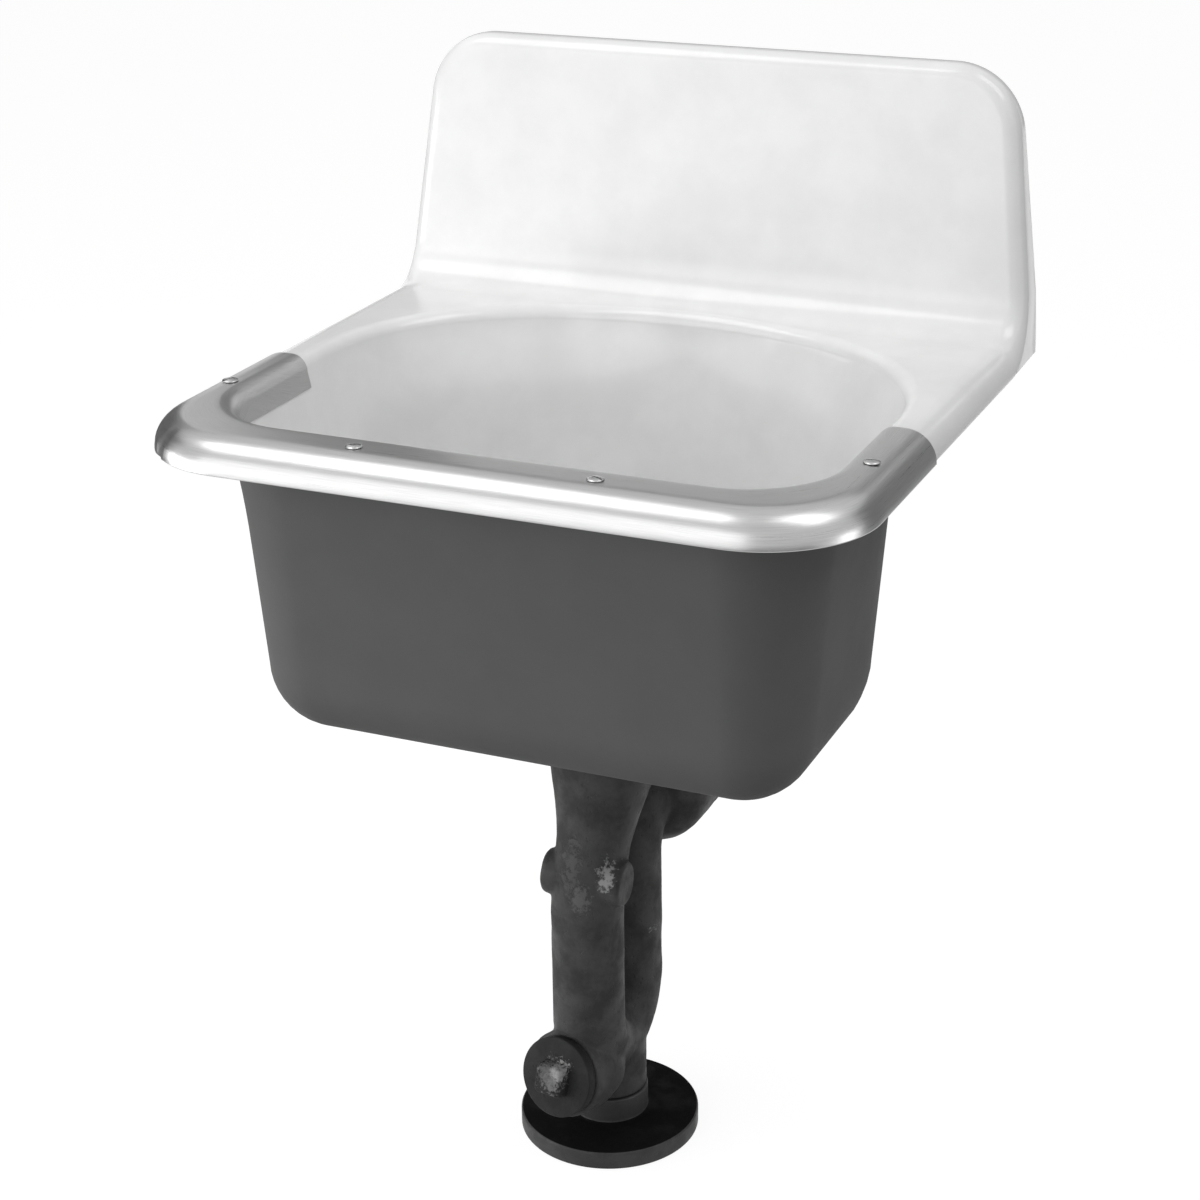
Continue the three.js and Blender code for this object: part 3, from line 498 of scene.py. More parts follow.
# ------------------------------------------------------------------ shader building
class Nodes:
    """A short way to add and join the nodes of one tree."""

    def __init__(self, tree: bpy.types.NodeTree) -> None:
        """Keeps the tree that the nodes go into."""
        self.tree = tree

    def add(self, kind: str, inputs: Optional[dict] = None, **settings: object) -> bpy.types.Node:
        """Adds a node.

        Args:
            kind: the node's type.
            inputs: a value or another node's output for each named or numbered input.
            settings: the node's own properties.

        Returns:
            The node.
        """
        node = self.tree.nodes.new(kind)
        for name, value in settings.items():
            setattr(node, name, value)
        for name, value in (inputs or {}).items():
            if isinstance(value, bpy.types.NodeSocket):
                self.tree.links.new(value, node.inputs[name])
            else:
                node.inputs[name].default_value = value
        return node

    def grouped(self, tree: bpy.types.NodeTree, inputs: dict) -> bpy.types.NodeOutputs:
        """The outputs of a node group with the given inputs."""
        return self.add("ShaderNodeGroup", inputs, node_tree=tree).outputs

    def math(self, operation: str, *values: object) -> bpy.types.NodeSocket:
        """The output of a Math node on the given values or outputs."""
        return self.add("ShaderNodeMath", dict(enumerate(values)), operation=operation).outputs[0]

    def vector(self, operation: str, inputs: dict, output: object = 0) -> bpy.types.NodeSocket:
        """An output of a Vector Math node."""
        return self.add("ShaderNodeVectorMath", inputs, operation=operation).outputs[output]

    def weighted(self, first: tuple, second: tuple) -> bpy.types.NodeSocket:
        """The sum of two values, each times its weight."""
        return self.math("ADD", self.math("MULTIPLY", *first), self.math("MULTIPLY", *second))

    def noise(
        self, place: bpy.types.NodeSocket, scale: object, detail: float = 3.0, rough: float = 0.5
    ) -> bpy.types.NodeSocket:
        """The value of a noise texture at a place."""
        inputs = {"Vector": place, "Scale": scale, "Detail": detail, "Roughness": rough}
        return self.add("ShaderNodeTexNoise", inputs).outputs[0]

    def between(
        self, value: object, low: float, high: float, start: float = 0.0, end: float = 1.0
    ) -> bpy.types.NodeSocket:
        """A value eased from start to end as it goes from low to high."""
        inputs = {"Value": value, "From Min": low, "From Max": high, "To Min": start, "To Max": end}
        return self.add("ShaderNodeMapRange", inputs, interpolation_type="SMOOTHSTEP").outputs[0]

    def mixed(self, share: object, first: object, second: object) -> bpy.types.NodeSocket:
        """A colour between two colours."""
        return self.add("ShaderNodeMix", {0: share, 6: first, 7: second}, data_type="RGBA").outputs[2]

    def place(self) -> bpy.types.NodeSocket:
        """The point on the piece, in metres."""
        return self.add("ShaderNodeTexCoord").outputs["Object"]

    def bump(self, height: object, depth: float, under: object = None) -> bpy.types.NodeSocket:
        """The normal of a surface with a height.

        Args:
            height: the height.
            depth: how many metres a height of 1 stands for.
            under: the normal of the surface beneath.

        Returns:
            The normal.
        """
        inputs = {"Height": height, "Distance": depth, "Strength": 1.0}
        if under is not None:
            inputs["Normal"] = under
        return self.add("ShaderNodeBump", inputs).outputs[0]


def emptied(owner: bpy.types.Material | bpy.types.World) -> Nodes:
    """The nodes of a new material or world, with none in it yet.

    Args:
        owner: the material or world.

    Returns:
        Its nodes.
    """
    owner.use_nodes = True
    owner.node_tree.nodes.clear()
    return Nodes(owner.node_tree)


def group(
    name: str, inputs: dict[str, object], outputs: Sequence[str], build: Callable
) -> bpy.types.NodeTree:
    """A shader node group, built once.

    Args:
        name: the group's name.
        inputs: each input's name and value; a value of three numbers makes a vector.
        outputs: the names of its number outputs.
        build: a function of the Nodes and of the group's inputs that returns each output's socket.

    Returns:
        The group.
    """
    if name in bpy.data.node_groups:
        return bpy.data.node_groups[name]
    tree = bpy.data.node_groups.new(name, "ShaderNodeTree")
    for key, value in inputs.items():
        kind = "NodeSocketVector" if isinstance(value, tuple) else "NodeSocketFloat"
        tree.interface.new_socket(key, in_out="INPUT", socket_type=kind).default_value = value
    for key in outputs:
        tree.interface.new_socket(key, in_out="OUTPUT", socket_type="NodeSocketFloat")
    nodes = Nodes(tree)
    start = nodes.add("NodeGroupInput")
    end = nodes.add("NodeGroupOutput")
    for key, socket in build(nodes, start.outputs).items():
        tree.links.new(socket, end.inputs[key])
    return tree


def cast_surface() -> bpy.types.NodeTree:
    """The skin of a sand casting: slow swells, sand grain, pits and a patchy tone."""

    def build(n: Nodes, given: bpy.types.NodeOutputs) -> dict:
        """Builds the casting's skin."""
        place = n.place()
        swell = n.noise(place, given["Swell Scale"], 2.0)
        grain = n.noise(place, given["Grain Scale"], 4.0, 0.65)
        pits = n.noise(place, n.math("MULTIPLY", given["Grain Scale"], 0.45), 2.0, 0.5)
        hole = n.between(pits, 0.28, 0.36, 1.0, 0.0)
        height = n.weighted((swell, given["Swell"]), (grain, given["Grain"]))
        height = n.math("SUBTRACT", height, n.math("MULTIPLY", hole, given["Pits"]))
        tone = n.noise(place, n.math("MULTIPLY", given["Swell Scale"], 1.7), 5.0, 0.6)
        return {"Height": height, "Tone": n.between(tone, 0.3, 0.7), "Pit": hole}

    inputs = {"Swell Scale": 14.0, "Grain Scale": 900.0, "Swell": 1.0, "Grain": 0.12, "Pits": 0.2}
    return group("cast_surface", inputs, ("Height", "Tone", "Pit"), build)


def scuff_and_highlight_spot() -> bpy.types.NodeTree:
    """A ragged patch round one place, used for chips and smears of bare metal and for a painted highlight.
    """

    def build(n: Nodes, given: bpy.types.NodeOutputs) -> dict:
        """Builds the patch's mask."""
        place = n.place()
        away = n.vector("SUBTRACT", {0: place, 1: given["Centre"]})
        sized = n.vector("DIVIDE", {0: away, 1: given["Reach"]})
        far = n.vector("LENGTH", {0: sized}, "Value")
        ragged = n.noise(place, given["Raggedness Scale"], 5.0, 0.7)
        edge = n.math("ADD", far, n.math("MULTIPLY", n.math("SUBTRACT", ragged, 0.5), 3.2))
        return {"Mask": n.between(edge, 0.55, 1.05, 1.0, 0.0)}

    inputs = {"Centre": (0.0, 0.0, 0.0), "Reach": (0.01, 0.01, 0.01), "Raggedness Scale": 260.0}
    return group("scuff_and_highlight_spot", inputs, ("Mask",), build)


def brushed_lines() -> bpy.types.NodeTree:
    """Fine lines along a sheet, as a height and as an unevenness of its gloss."""

    def build(n: Nodes, given: bpy.types.NodeOutputs) -> dict:
        """Builds the lines from the sheet's own lay."""
        lay = n.add("ShaderNodeUVMap", uv_map=LAY_MAP).outputs[0]
        size = n.add("ShaderNodeCombineXYZ", {0: given["Along"], 1: given["Across"], 2: 1.0}).outputs[0]
        drawn = n.vector("MULTIPLY", {0: lay, 1: size})
        slow = n.vector("SCALE", {0: drawn, "Scale": 0.12})
        return {"Lines": n.noise(drawn, 1.0, 4.0, 0.6), "Cloud": n.noise(slow, 1.0, 3.0, 0.6)}

    return group("brushed_lines", {"Along": 30.0, "Across": 3000.0}, ("Lines", "Cloud"), build)


def grey(level: float) -> tuple[float, float, float, float]:
    """A neutral colour from a level of 0 to 255 as a screen shows it.

    Args:
        level: the level.

    Returns:
        The colour in linear light.
    """
    share = level / 255
    linear = share / 12.92 if share <= 0.04045 else ((share + 0.055) / 1.055) ** 2.4
    return (linear, linear, linear, 1.0)


class Finish:
    """A surface finish that makes its material once."""

    name: str

    def material(self) -> bpy.types.Material:
        """The finish's material, made at its first use."""
        found = bpy.data.materials.get(self.name)
        if found:
            return found
        made = bpy.data.materials.new(self.name)
        nodes = emptied(made)
        shader = nodes.add("ShaderNodeBsdfPrincipled", self.inputs(nodes))
        nodes.add("ShaderNodeOutputMaterial", {"Surface": shader.outputs[0]})
        return made

    def inputs(self, nodes: Nodes) -> dict[str, object]:
        """What the shader's inputs get: a value or another node's output."""
        raise NotImplementedError


@dataclass(frozen=True)
class Enamel(Finish):
    """White vitreous enamel on cast iron: glossy, a little wavy, with faint stipple and cloudy tone."""

    name: str = "white_enamel"
    bright: float = 240
    dull: float = 233
    roughness: float = 0.16
    wave: float = 0.0005
    wave_scale: float = 9.0
    stipple: float = 0.00001
    stipple_scale: float = 260.0
    refraction: float = 1.52

    def inputs(self, nodes: Nodes) -> dict[str, object]:
        """Builds the enamel."""
        scales = {"Swell Scale": self.wave_scale, "Grain Scale": 420.0, "Grain": 0.0, "Pits": 0.0}
        skin = nodes.grouped(cast_surface(), scales)
        stipple = nodes.noise(nodes.place(), self.stipple_scale, 2.0, 0.4)
        waved = nodes.bump(skin["Height"], self.wave)
        rough, smoother = self.roughness * 1.25, self.roughness * 0.8
        return {
            "Base Color": nodes.mixed(skin["Tone"], grey(self.dull), grey(self.bright)),
            "Roughness": nodes.between(skin["Tone"], 0.0, 1.0, rough, smoother),
            "Normal": nodes.bump(stipple, self.stipple, waved),
            "IOR": self.refraction,
        }


@dataclass(frozen=True)
class BrushedSteel(Finish):
    """Satin stainless sheet with fine lines along it and soft cloudy patches."""

    name: str = "satin_steel_sheet"
    bright: float = 186
    dull: float = 170
    roughness: float = 0.30
    cloudy: float = 0.12
    lined: float = 0.1
    line: float = 0.00002

    def inputs(self, nodes: Nodes) -> dict[str, object]:
        """Builds the steel."""
        lines = nodes.grouped(brushed_lines(), {})
        fine = lines["Lines"]
        uneven = nodes.weighted((lines["Cloud"], self.cloudy), (fine, self.lined))
        middle = (self.cloudy + self.lined) / 2
        return {
            "Base Color": nodes.mixed(nodes.between(fine, 0.3, 0.7), grey(self.dull), grey(self.bright)),
            "Metallic": 1.0,
            "Roughness": nodes.math("ADD", uneven, self.roughness - middle),
            "Normal": nodes.bump(fine, self.line),
        }


@dataclass(frozen=True)
class Mark:
    """One marked place on a casting: a scuff of bare metal, or a painted highlight.

    Attributes:
        centre: its middle.
        reach: how far it goes along X, Y and Z.
        level: its tone on a screen, from 0 to 255.
        scale: how fine its ragged edge is.
    """

    centre: tuple[float, float, float]
    reach: tuple[float, float, float]
    level: float
    scale: float = 260.0


@dataclass(frozen=True)
class CoatedIron(Finish):
    """Cast or turned iron under paint or tar: grainy and patchy, with scuffed places and, on the trap, one
    painted highlight.
    """

    name: str
    dark: float
    light: float
    roughness: float = 0.5
    depth: float = 0.0009
    grain: float = 0.16
    pits: float = 0.12
    grain_scale: float = 700.0
    swell_scale: float = 22.0
    shine: float = 0.5
    patchy: float = 0.15
    marks: tuple[Mark, ...] = ()

    def inputs(self, nodes: Nodes) -> dict[str, object]:
        """Builds the coated iron."""
        scales = {"Swell Scale": self.swell_scale, "Grain Scale": self.grain_scale}
        skin = nodes.grouped(cast_surface(), {**scales, "Grain": self.grain, "Pits": self.pits})
        speck = nodes.noise(nodes.place(), self.grain_scale * 0.5, 3.0, 0.6)
        tone = nodes.weighted((skin["Tone"], 0.7), (speck, 0.3))
        colour = nodes.mixed(tone, grey(self.dark), grey(self.light))
        rough, smoother = self.roughness * (1 + self.patchy), self.roughness * (1 - self.patchy)
        height = skin["Height"]
        # Each mark's tone is mixed in: scuffs of bare metal, and on the trap one painted highlight.
        for mark in self.marks:
            place = {"Centre": mark.centre, "Reach": mark.reach, "Raggedness Scale": mark.scale}
            spot = nodes.grouped(scuff_and_highlight_spot(), place)[0]
            colour = nodes.mixed(spot, colour, grey(mark.level))
            height = nodes.math("ADD", height, nodes.math("MULTIPLY", spot, 0.25))
        return {
            "Base Color": colour,
            "Roughness": nodes.between(tone, 0.2, 0.8, rough, smoother),
            "Normal": nodes.bump(height, self.depth),
            "Specular IOR Level": self.shine,
        }


@dataclass(frozen=True)
class EvenFinish(Finish):
    """An even surface with slight blotches: machined steel, or dusty rubber.

    Attributes:
        name: the material's name.
        dark: the tone of its darker blotches on a screen, from 0 to 255.
        light: the tone of its lighter ones.
        rough: the roughness of its darker blotches.
        smoother: the roughness of its lighter ones.
        swell_scale: how small the blotches are.
        depth: how deep its grain is.
        pits: how deep its pits are, as a share of depth.
        metallic: 1 for a metal.
    """

    name: str
    dark: float
    light: float
    rough: float
    smoother: float
    swell_scale: float = 120.0
    depth: float = 0.00003
    pits: float = 0.0
    metallic: float = 1.0

    def inputs(self, nodes: Nodes) -> dict[str, object]:
        """Builds the surface."""
        skin = nodes.grouped(cast_surface(), {"Swell Scale": self.swell_scale, "Pits": self.pits})
        return {
            "Base Color": nodes.mixed(skin["Tone"], grey(self.dark), grey(self.light)),
            "Roughness": nodes.between(skin["Tone"], 0.0, 1.0, self.rough, self.smoother),
            "Normal": nodes.bump(skin["Height"], self.depth),
            "Metallic": self.metallic,
        }


# ------------------------------------------------------------------ the sink
OUTLET_FROM_WALL = 0.253
OUTLET_AXIS = Matrix.Translation((0, -OUTLET_FROM_WALL, 0))


@dataclass
class Station:
    """One place round the sink: a point of its outer edge and one of the bowl's, with their normals."""

    outer: Vector
    outward: Vector
    inner: Vector
    inward: Vector

    def mirrored(self) -> "Station":
        """The same place on the other side."""
        return Station(*(Vector((-v.x, v.y)) for v in (self.outer, self.outward, self.inner, self.inward)))


def towards(angle: float) -> Vector:
    """A direction in the plane."""
    return Vector((math.cos(angle), math.sin(angle)))


@dataclass
class SinkShape:
    """Sizes of the bowl, deck and back, as in the CAD part, and the stations round them."""

    width: float = 0.559
    depth: float = 0.508
    back_height: float = 0.208
    rim_drop: float = 0.0245
    proud: float = 0.002
    iron: float = 0.008
    deck_roll: float = 0.022
    back_roll: float = 0.014
    corner_radius: float = 0.084
    back_narrowing: float = 0.025
    back_corner_radius: float = 0.058
    back_thick_low: float = 0.042
    back_thick_top: float = 0.022
    cove_radius: float = 0.038
    bowl_width: float = 0.474
    bowl_front_margin: float = 0.056
    bowl_rear_margin: float = 0.076
    bowl_square_length: float = 0.180
    bowl_corner_radius: float = 0.070
    bowl_squareness: float = 2.3
    bowl_roll: float = 0.011
    shoulder_drop: float = 0.060
    shoulder_inset: float = 0.010
    shoulder_rear_inset: float = 0.010
    shoulder_ease: float = 0.006
    bowl_depth: float = 0.264
    bowl_draft: float = 0.012
    floor_radius: float = 0.046
    floor_fall: float = 0.006
    guard_leg: float = 0.214
    outlet_bore: float = 0.076
    recess_depth: float = 0.0065
    recess_radius: float = 0.055
    boss_radius: float = 0.066
    boss_drop: float = 0.0075
    corner_steps: int = 26
    cove_steps: int = 18
    side_steps: int = 12
    back_steps: int = 8
    top_steps: int = 14
    front_steps: int = 20
    leg_steps: int = 8
    slope_step: float = 0.002

    def __post_init__(self) -> None:
        """Works out the levels and places that follow."""
        self.half_width = self.width / 2 - self.proud
        self.front = -self.depth + self.proud
        self.deck = -self.proud
        self.lean = math.atan((self.back_thick_low - self.back_thick_top) / self.back_height)
        self.bowl_half = self.bowl_width / 2
        self.bowl_front = -self.depth + self.bowl_front_margin
        self.bowl_centre = self.bowl_front + self.bowl_square_length
        self.rear_reach = -self.bowl_rear_margin - self.bowl_centre
        self.floor = -self.bowl_depth
        self.recess_floor = self.floor - self.recess_depth
        self.underside = self.floor - self.iron
        self.outlet_face = self.underside - self.boss_drop
        self.floor_edge = self.floor + self.floor_fall
        self.fillet_top = self.floor_edge + self.floor_radius
        self.wall_top = self.deck - self.bowl_roll
        self.leg_end = -self.depth + self.guard_leg
        self.cove_turn = QUARTER - self.lean
        self.cove_level = self.deck + self.cove_radius
        run = self.cove_radius - self.cove_level * math.sin(self.lean)
        self.cove_start = -self.back_thick_low - run / math.cos(self.lean)
        self.cove_end = self.cove_start + self.cove_radius * self.cove_turn
        end_level = self.cove_level - self.cove_radius * math.cos(self.cove_turn)
        rise = self.back_height - end_level + self.back_roll * math.sin(self.lean)
        self.sheet_top = self.cove_end + rise / math.cos(self.lean)
        self.stations = self.rear_stations() + self.front_stations()

    def folded(self, x: float, s: float, depth: float) -> Vector:
        """A point of the sheet that deck, cove and back form.

        Args:
            x: the place across.
            s: the place back along the deck and then up the cove and the back.
            depth: how far into the iron.

        Returns:
            The point in space.
        """
        if s <= self.cove_start:
            return Vector((x, s, self.deck - depth))
        turn = min((s - self.cove_start) / self.cove_radius, self.cove_turn)
        along = max(0.0, s - self.cove_end)
        reach = self.cove_radius + depth
        y = self.cove_start + reach * math.sin(turn) + along * math.cos(turn)
        z = self.cove_level - reach * math.cos(turn) + along * math.sin(turn)
        return Vector((x, y, min(z, self.back_height)))

    def edge_depth(self, s: float) -> float:
        """How far the turned-down edge reaches: to the rim's lower edge, or to the wall.

        Args:
            s: the place along the sheet.

        Returns:
            The way from the surface to the nearer of both.
        """
        surface = self.folded(0, s, 0)
        turn = min(max(0.0, (s - self.cove_start) / self.cove_radius), self.cove_turn)
        to_wall = -surface.y / math.sin(turn) if turn > 0 else math.inf
        to_rim = (surface.z + self.rim_drop) / math.cos(turn)
        return min(to_wall, to_rim)

    def edge_roll(self, s: float) -> float:
        """The radius of the rolled edge at s, larger on the deck than on the back."""
        share = (s - self.cove_start) / (self.cove_end - self.cove_start)
        return mix(self.deck_roll, self.back_roll, smooth(share))

    def half_width_at(self, s: float) -> float:
        """Half the casting's width at a place along the sheet."""
        height = max(0.0, self.folded(0, s, 0).z) / self.folded(0, self.sheet_top, 0).z
        return self.half_width - self.back_narrowing * height

    def rear_station(self, outer: Vector, outward: Vector) -> Station:
        """A station at the rear.

        Args:
            outer: its point of the outer edge.
            outward: the outer edge's normal there.

        Returns:
            The station, its bowl point on the oval in line with the outer point.
        """
        ray = towards(math.atan2(outer.y - self.bowl_centre, outer.x))
        n = self.bowl_squareness
        across, back = abs(ray.x / self.bowl_half), abs(ray.y / self.rear_reach)
        reach = (across**n + back**n) ** (-1 / n)
        side = math.copysign(across ** (n - 1), ray.x) / self.bowl_half
        inward = Vector((side, back ** (n - 1) / self.rear_reach)).normalized()
        return Station(outer, outward, ray * reach + Vector((0, self.bowl_centre)), inward)

    def side_station(self, s: float) -> Station:
        """A station on the casting's straight or leaning side.

        Args:
            s: the place along the sheet.

        Returns:
            The station.
        """
        change = self.half_width_at(s + self.slope_step) - self.half_width_at(s - self.slope_step)
        slope = change / (2 * self.slope_step)
        return self.rear_station(Vector((self.half_width_at(s), s)), Vector((1, -slope)).normalized())

    def rear_stations(self) -> list[Station]:
        """The stations from the middle of the bowl's right side round the back to the left."""
        places = spread(self.bowl_centre, self.cove_start, self.side_steps)[:-1]
        places += spread(self.cove_start, self.cove_end, self.cove_steps)
        fall = self.half_width_at(self.cove_end) - self.half_width_at(self.sheet_top)
        lean = math.atan(fall / (self.sheet_top - self.cove_end))
        centre_s = self.sheet_top - self.back_corner_radius
        centre_x = self.half_width_at(centre_s) - self.back_corner_radius / math.cos(lean)
        corner_start = centre_s + self.back_corner_radius * math.sin(lean)
        places += spread(self.cove_end, corner_start, self.back_steps)[1:-1]
        half = [self.side_station(s) for s in places]
        for angle in spread(lean, QUARTER, self.corner_steps):
            outer = towards(angle) * self.back_corner_radius + Vector((centre_x, centre_s))
            half.append(self.rear_station(outer, towards(angle)))
        for x in spread(centre_x, 0, self.top_steps)[1:]:
            half.append(self.rear_station(Vector((x, self.sheet_top)), Vector((0, 1))))
        return half + [station.mirrored() for station in reversed(half[:-1])]

    def front_stations(self) -> list[Station]:
        """The stations under the guard, from its left end round the front to its right end."""
        half = []
        right, ahead = Vector((1, 0)), Vector((0, -1))
        big, small = self.corner_radius, self.bowl_corner_radius
        outer = Vector((self.half_width - big, self.front + big))
        inner = Vector((self.bowl_half - small, self.bowl_front + small))
        for t in spread(0, 1, self.leg_steps)[:-1]:
            out_point = Vector((self.half_width, mix(self.leg_end, outer.y, t)))
            in_point = Vector((self.bowl_half, mix(self.leg_end, inner.y, t)))
            half.append(Station(out_point, right, in_point, right))
        for angle in spread(0, -QUARTER, self.corner_steps):
            way = towards(angle)
            half.append(Station(outer + way * big, way, inner + way * small, way))
        for t in spread(0, 1, self.front_steps)[1:]:
            out_point = Vector((mix(outer.x, 0, t), self.front))
            in_point = Vector((mix(inner.x, 0, t), self.bowl_front))
            half.append(Station(out_point, ahead, in_point, ahead))
        return list(reversed(half + [station.mirrored() for station in reversed(half[:-1])]))

    def shoulder_at(self, station: Station) -> float:
        """How far the wall has come in at the shoulder, most at the rear corners.

        Args:
            station: the place round the bowl.

        Returns:
            The way in from the bowl's edge.
        """
        angle = math.atan2(station.inner.y - self.bowl_centre, station.inner.x)
        rear = max(0.0, math.sin(angle)) * abs(math.cos(angle)) * 2
        return self.shoulder_inset + self.shoulder_rear_inset * rear

    def wall_inset(self, station: Station, level: float) -> float:
        """How far the bowl's wall has come in at a level.

        Args:
            station: the place round the bowl.
            level: the height.

        Returns:
            The way in from the bowl's edge, its two slopes eased into each other.
        """
        shoulder = self.shoulder_at(station)
        below = -self.shoulder_drop - level
        steep = shoulder * (self.wall_top - level) / (self.wall_top + self.shoulder_drop)
        gentle = shoulder + self.bowl_draft * below / (-self.shoulder_drop - self.fillet_top)
        near = max(self.shoulder_ease - abs(steep - gentle), 0) / self.shoulder_ease
        return min(steep, gentle) - near * near * self.shoulder_ease / 4


@dataclass
class SinkCasting:
    """The enamelled casting: bowl, rolled opening, deck, cove and back, with its rib and hooks behind."""

    shape: SinkShape
    roll_steps: int = 12
    wall_steps: int = 14
    floor_steps: int = 8
    edge_steps: int = 3
    quarter_fullness: float = 0.55
    ring_crowding: float = 0.3
    lower_edge: float = 0.0022
    rib_height: float = 0.010
    rib_from_side: float = 0.012
    rib_sunk: float = 0.0025
    rib_edge: float = 0.002
    hook_spacing: float = 0.300
    hook_width: float = 0.060
    hook_level: float = 0.084
    hook_thick: float = 0.008
    hook_lip: float = 0.006
    hook_lip_length: float = 0.0277
    hook_back: float = -0.0062
    hook_edges: tuple[float, float, float] = (0.002, 0.0015, 0.003)

    def ring(self, point_at: Callable[[Station], Vector]) -> list[Vector]:
        """A ring with one point for each station."""
        return [point_at(station) for station in self.shape.stations]

    def deck_ring(self, number: int, depth: float) -> list[Vector]:
        """A ring over the deck.

        Args:
            number: which of the rings; each crosses the cove at its own turn of it.
            depth: how far into the iron.

        Returns:
            The ring's points.
        """
        shape, last = self.shape, self.shape.cove_steps + 1
        level = mix(shape.cove_start, shape.cove_end, number / shape.cove_steps)
        crowding = self.ring_crowding / last

        def point(st: Station) -> Vector:
            """The point between the bowl's edge and the outer edge."""
            start = st.inner + st.inward * shape.bowl_roll
            end = st.outer - st.outward * shape.edge_roll(st.outer.y)
            crossing = (level - start.y) / (end.y - start.y) if end.y > level else math.inf
            t = max(crowding * (number + 1), min(crossing, 1 - crowding * (last - number)))
            return shape.folded(mix(start.x, end.x, t), mix(start.y, end.y, t), depth)

        return self.ring(point)

    def edge_ring(self, inset: float, up: float) -> list[Vector]:
        """A ring a little inside the outer edge and a little up from its lower end.

        Args:
            inset: how far inside.
            up: how far up.

        Returns:
            The ring's points.
        """

        def point(st: Station) -> Vector:
            """The point on the turned-down edge."""
            p = st.outer - st.outward * inset
            return self.shape.folded(p.x, p.y, self.shape.edge_depth(st.outer.y) - up)

        return self.ring(point)

    def edge_roll_ring(self, turn: float, thin: float) -> list[Vector]:
        """A ring on the rolled edge at one turn of it.

        Args:
            turn: the turn round the roll, from flat to upright.
            thin: how far below the skin.

        Returns:
            The ring's points.
        """

        def point(st: Station) -> Vector:
            """The point on the roll."""
            roll = self.shape.edge_roll(st.outer.y)
            p = st.outer - st.outward * (roll - (roll - thin) * math.sin(turn))
            return self.shape.folded(p.x, p.y, roll - (roll - thin) * math.cos(turn))

        return self.ring(point)

    def wall_ring(
        self, level: float, extra: float = 0.0, wall_level: Optional[float] = None
    ) -> list[Vector]:
        """A ring on the bowl's wall.

        Args:
            level: its height.
            extra: how much further in it is than the wall.
            wall_level: the height at which the wall is taken, where that isn't level.

        Returns:
            The ring's points.
        """
        at_level = level if wall_level is None else wall_level

        def point(st: Station) -> Vector:
            """The point on the wall."""
            p = st.inner - st.inward * (self.shape.wall_inset(st, at_level) + extra)
            return Vector((p.x, p.y, level))

        return self.ring(point)

    def bowl_roll_ring(self, t: float, depth: float) -> list[Vector]:
        """A ring on the rolled edge between the deck and the bowl.

        Args:
            t: the share of the way from the deck down into the bowl.
            depth: how far into the iron.

        Returns:
            The ring's points.
        """
        shape, u = self.shape, 1 - t

        def point(st: Station) -> Vector:
            """The point on the roll, depth into the iron."""
            edge = st.inner + st.inward * shape.bowl_roll
            start = shape.folded(edge.x, edge.y, depth)
            p = st.inner + st.inward * depth
            end, bend = Vector((p.x, p.y, shape.wall_top)), Vector((p.x, p.y, start.z))
            first, second = (tip.lerp(bend, self.quarter_fullness) for tip in (start, end))
            return start * u**3 + first * (3 * u * u * t) + second * (3 * u * t * t) + end * t**3

        return self.ring(point)

    def circle_ring(self, radius: float, level: float) -> list[Vector]:
        """A ring on a circle round the outlet's axis.

        Args:
            radius: the circle's radius.
            level: its height.

        Returns:
            The ring's points.
        """
        centre = Vector((0, -OUTLET_FROM_WALL))

        def point(st: Station) -> Vector:
            """The point on the circle."""
            way = (st.inner - centre).normalized()
            return Vector((radius * way.x, centre.y + radius * way.y, level))

        return self.ring(point)

    def floor_rings(
        self, low: float, extra: float, radius: float, circle: float, circle_level: float
    ) -> list[list[Vector]]:
        """Rings from a circle on the bowl's floor out to its fillet and up to the wall.

        Args:
            low: the level at the fillet's foot.
            extra: how much further in than the inner skin, negative below it.
            radius: the fillet's radius.
            circle: the radius of the circle that they start from.
            circle_level: its level.

        Returns:
            The rings, from the circle outwards.
        """
        wall_level = self.shape.fillet_top
        start = self.circle_ring(circle, circle_level)
        foot = self.wall_ring(low, extra + radius, wall_level)
        rings = [[a.lerp(b, t) for a, b in zip(start, foot)] for t in spread(0, 1, self.floor_steps)[:-1]]
        for turn in spread(0, QUARTER, self.roll_steps):
            inset = extra + radius * (1 - math.sin(turn))
            rings.append(self.wall_ring(low + radius * (1 - math.cos(turn)), inset, wall_level))
        return rings

    def upper_rings(self) -> list[list[Vector]]:
        """The rings of the enamelled skin, from the outlet to the outer edge's lower end."""
        shape, edge = self.shape, self.lower_edge
        bore, recess = shape.outlet_bore / 2, shape.recess_radius
        rings = [self.circle_ring(radius, shape.recess_floor) for radius in (bore, recess)]
        rings += self.floor_rings(shape.floor_edge, 0.0, shape.floor_radius, recess, shape.floor)
        levels = spread(shape.fillet_top, shape.wall_top, self.wall_steps)[1:-1]
        rings += [self.wall_ring(level) for level in levels]
        rings += [self.bowl_roll_ring(t, 0) for t in reversed(spread(0, 1, self.roll_steps))]
        rings += [self.deck_ring(k, 0) for k in range(shape.cove_steps + 1)]
        rings += [self.edge_roll_ring(turn, 0) for turn in spread(0, QUARTER, self.roll_steps)]
        for turn in spread(0, QUARTER, self.edge_steps):
            rings.append(self.edge_ring(edge * (1 - math.cos(turn)), edge * (1 - math.sin(turn))))
        return rings

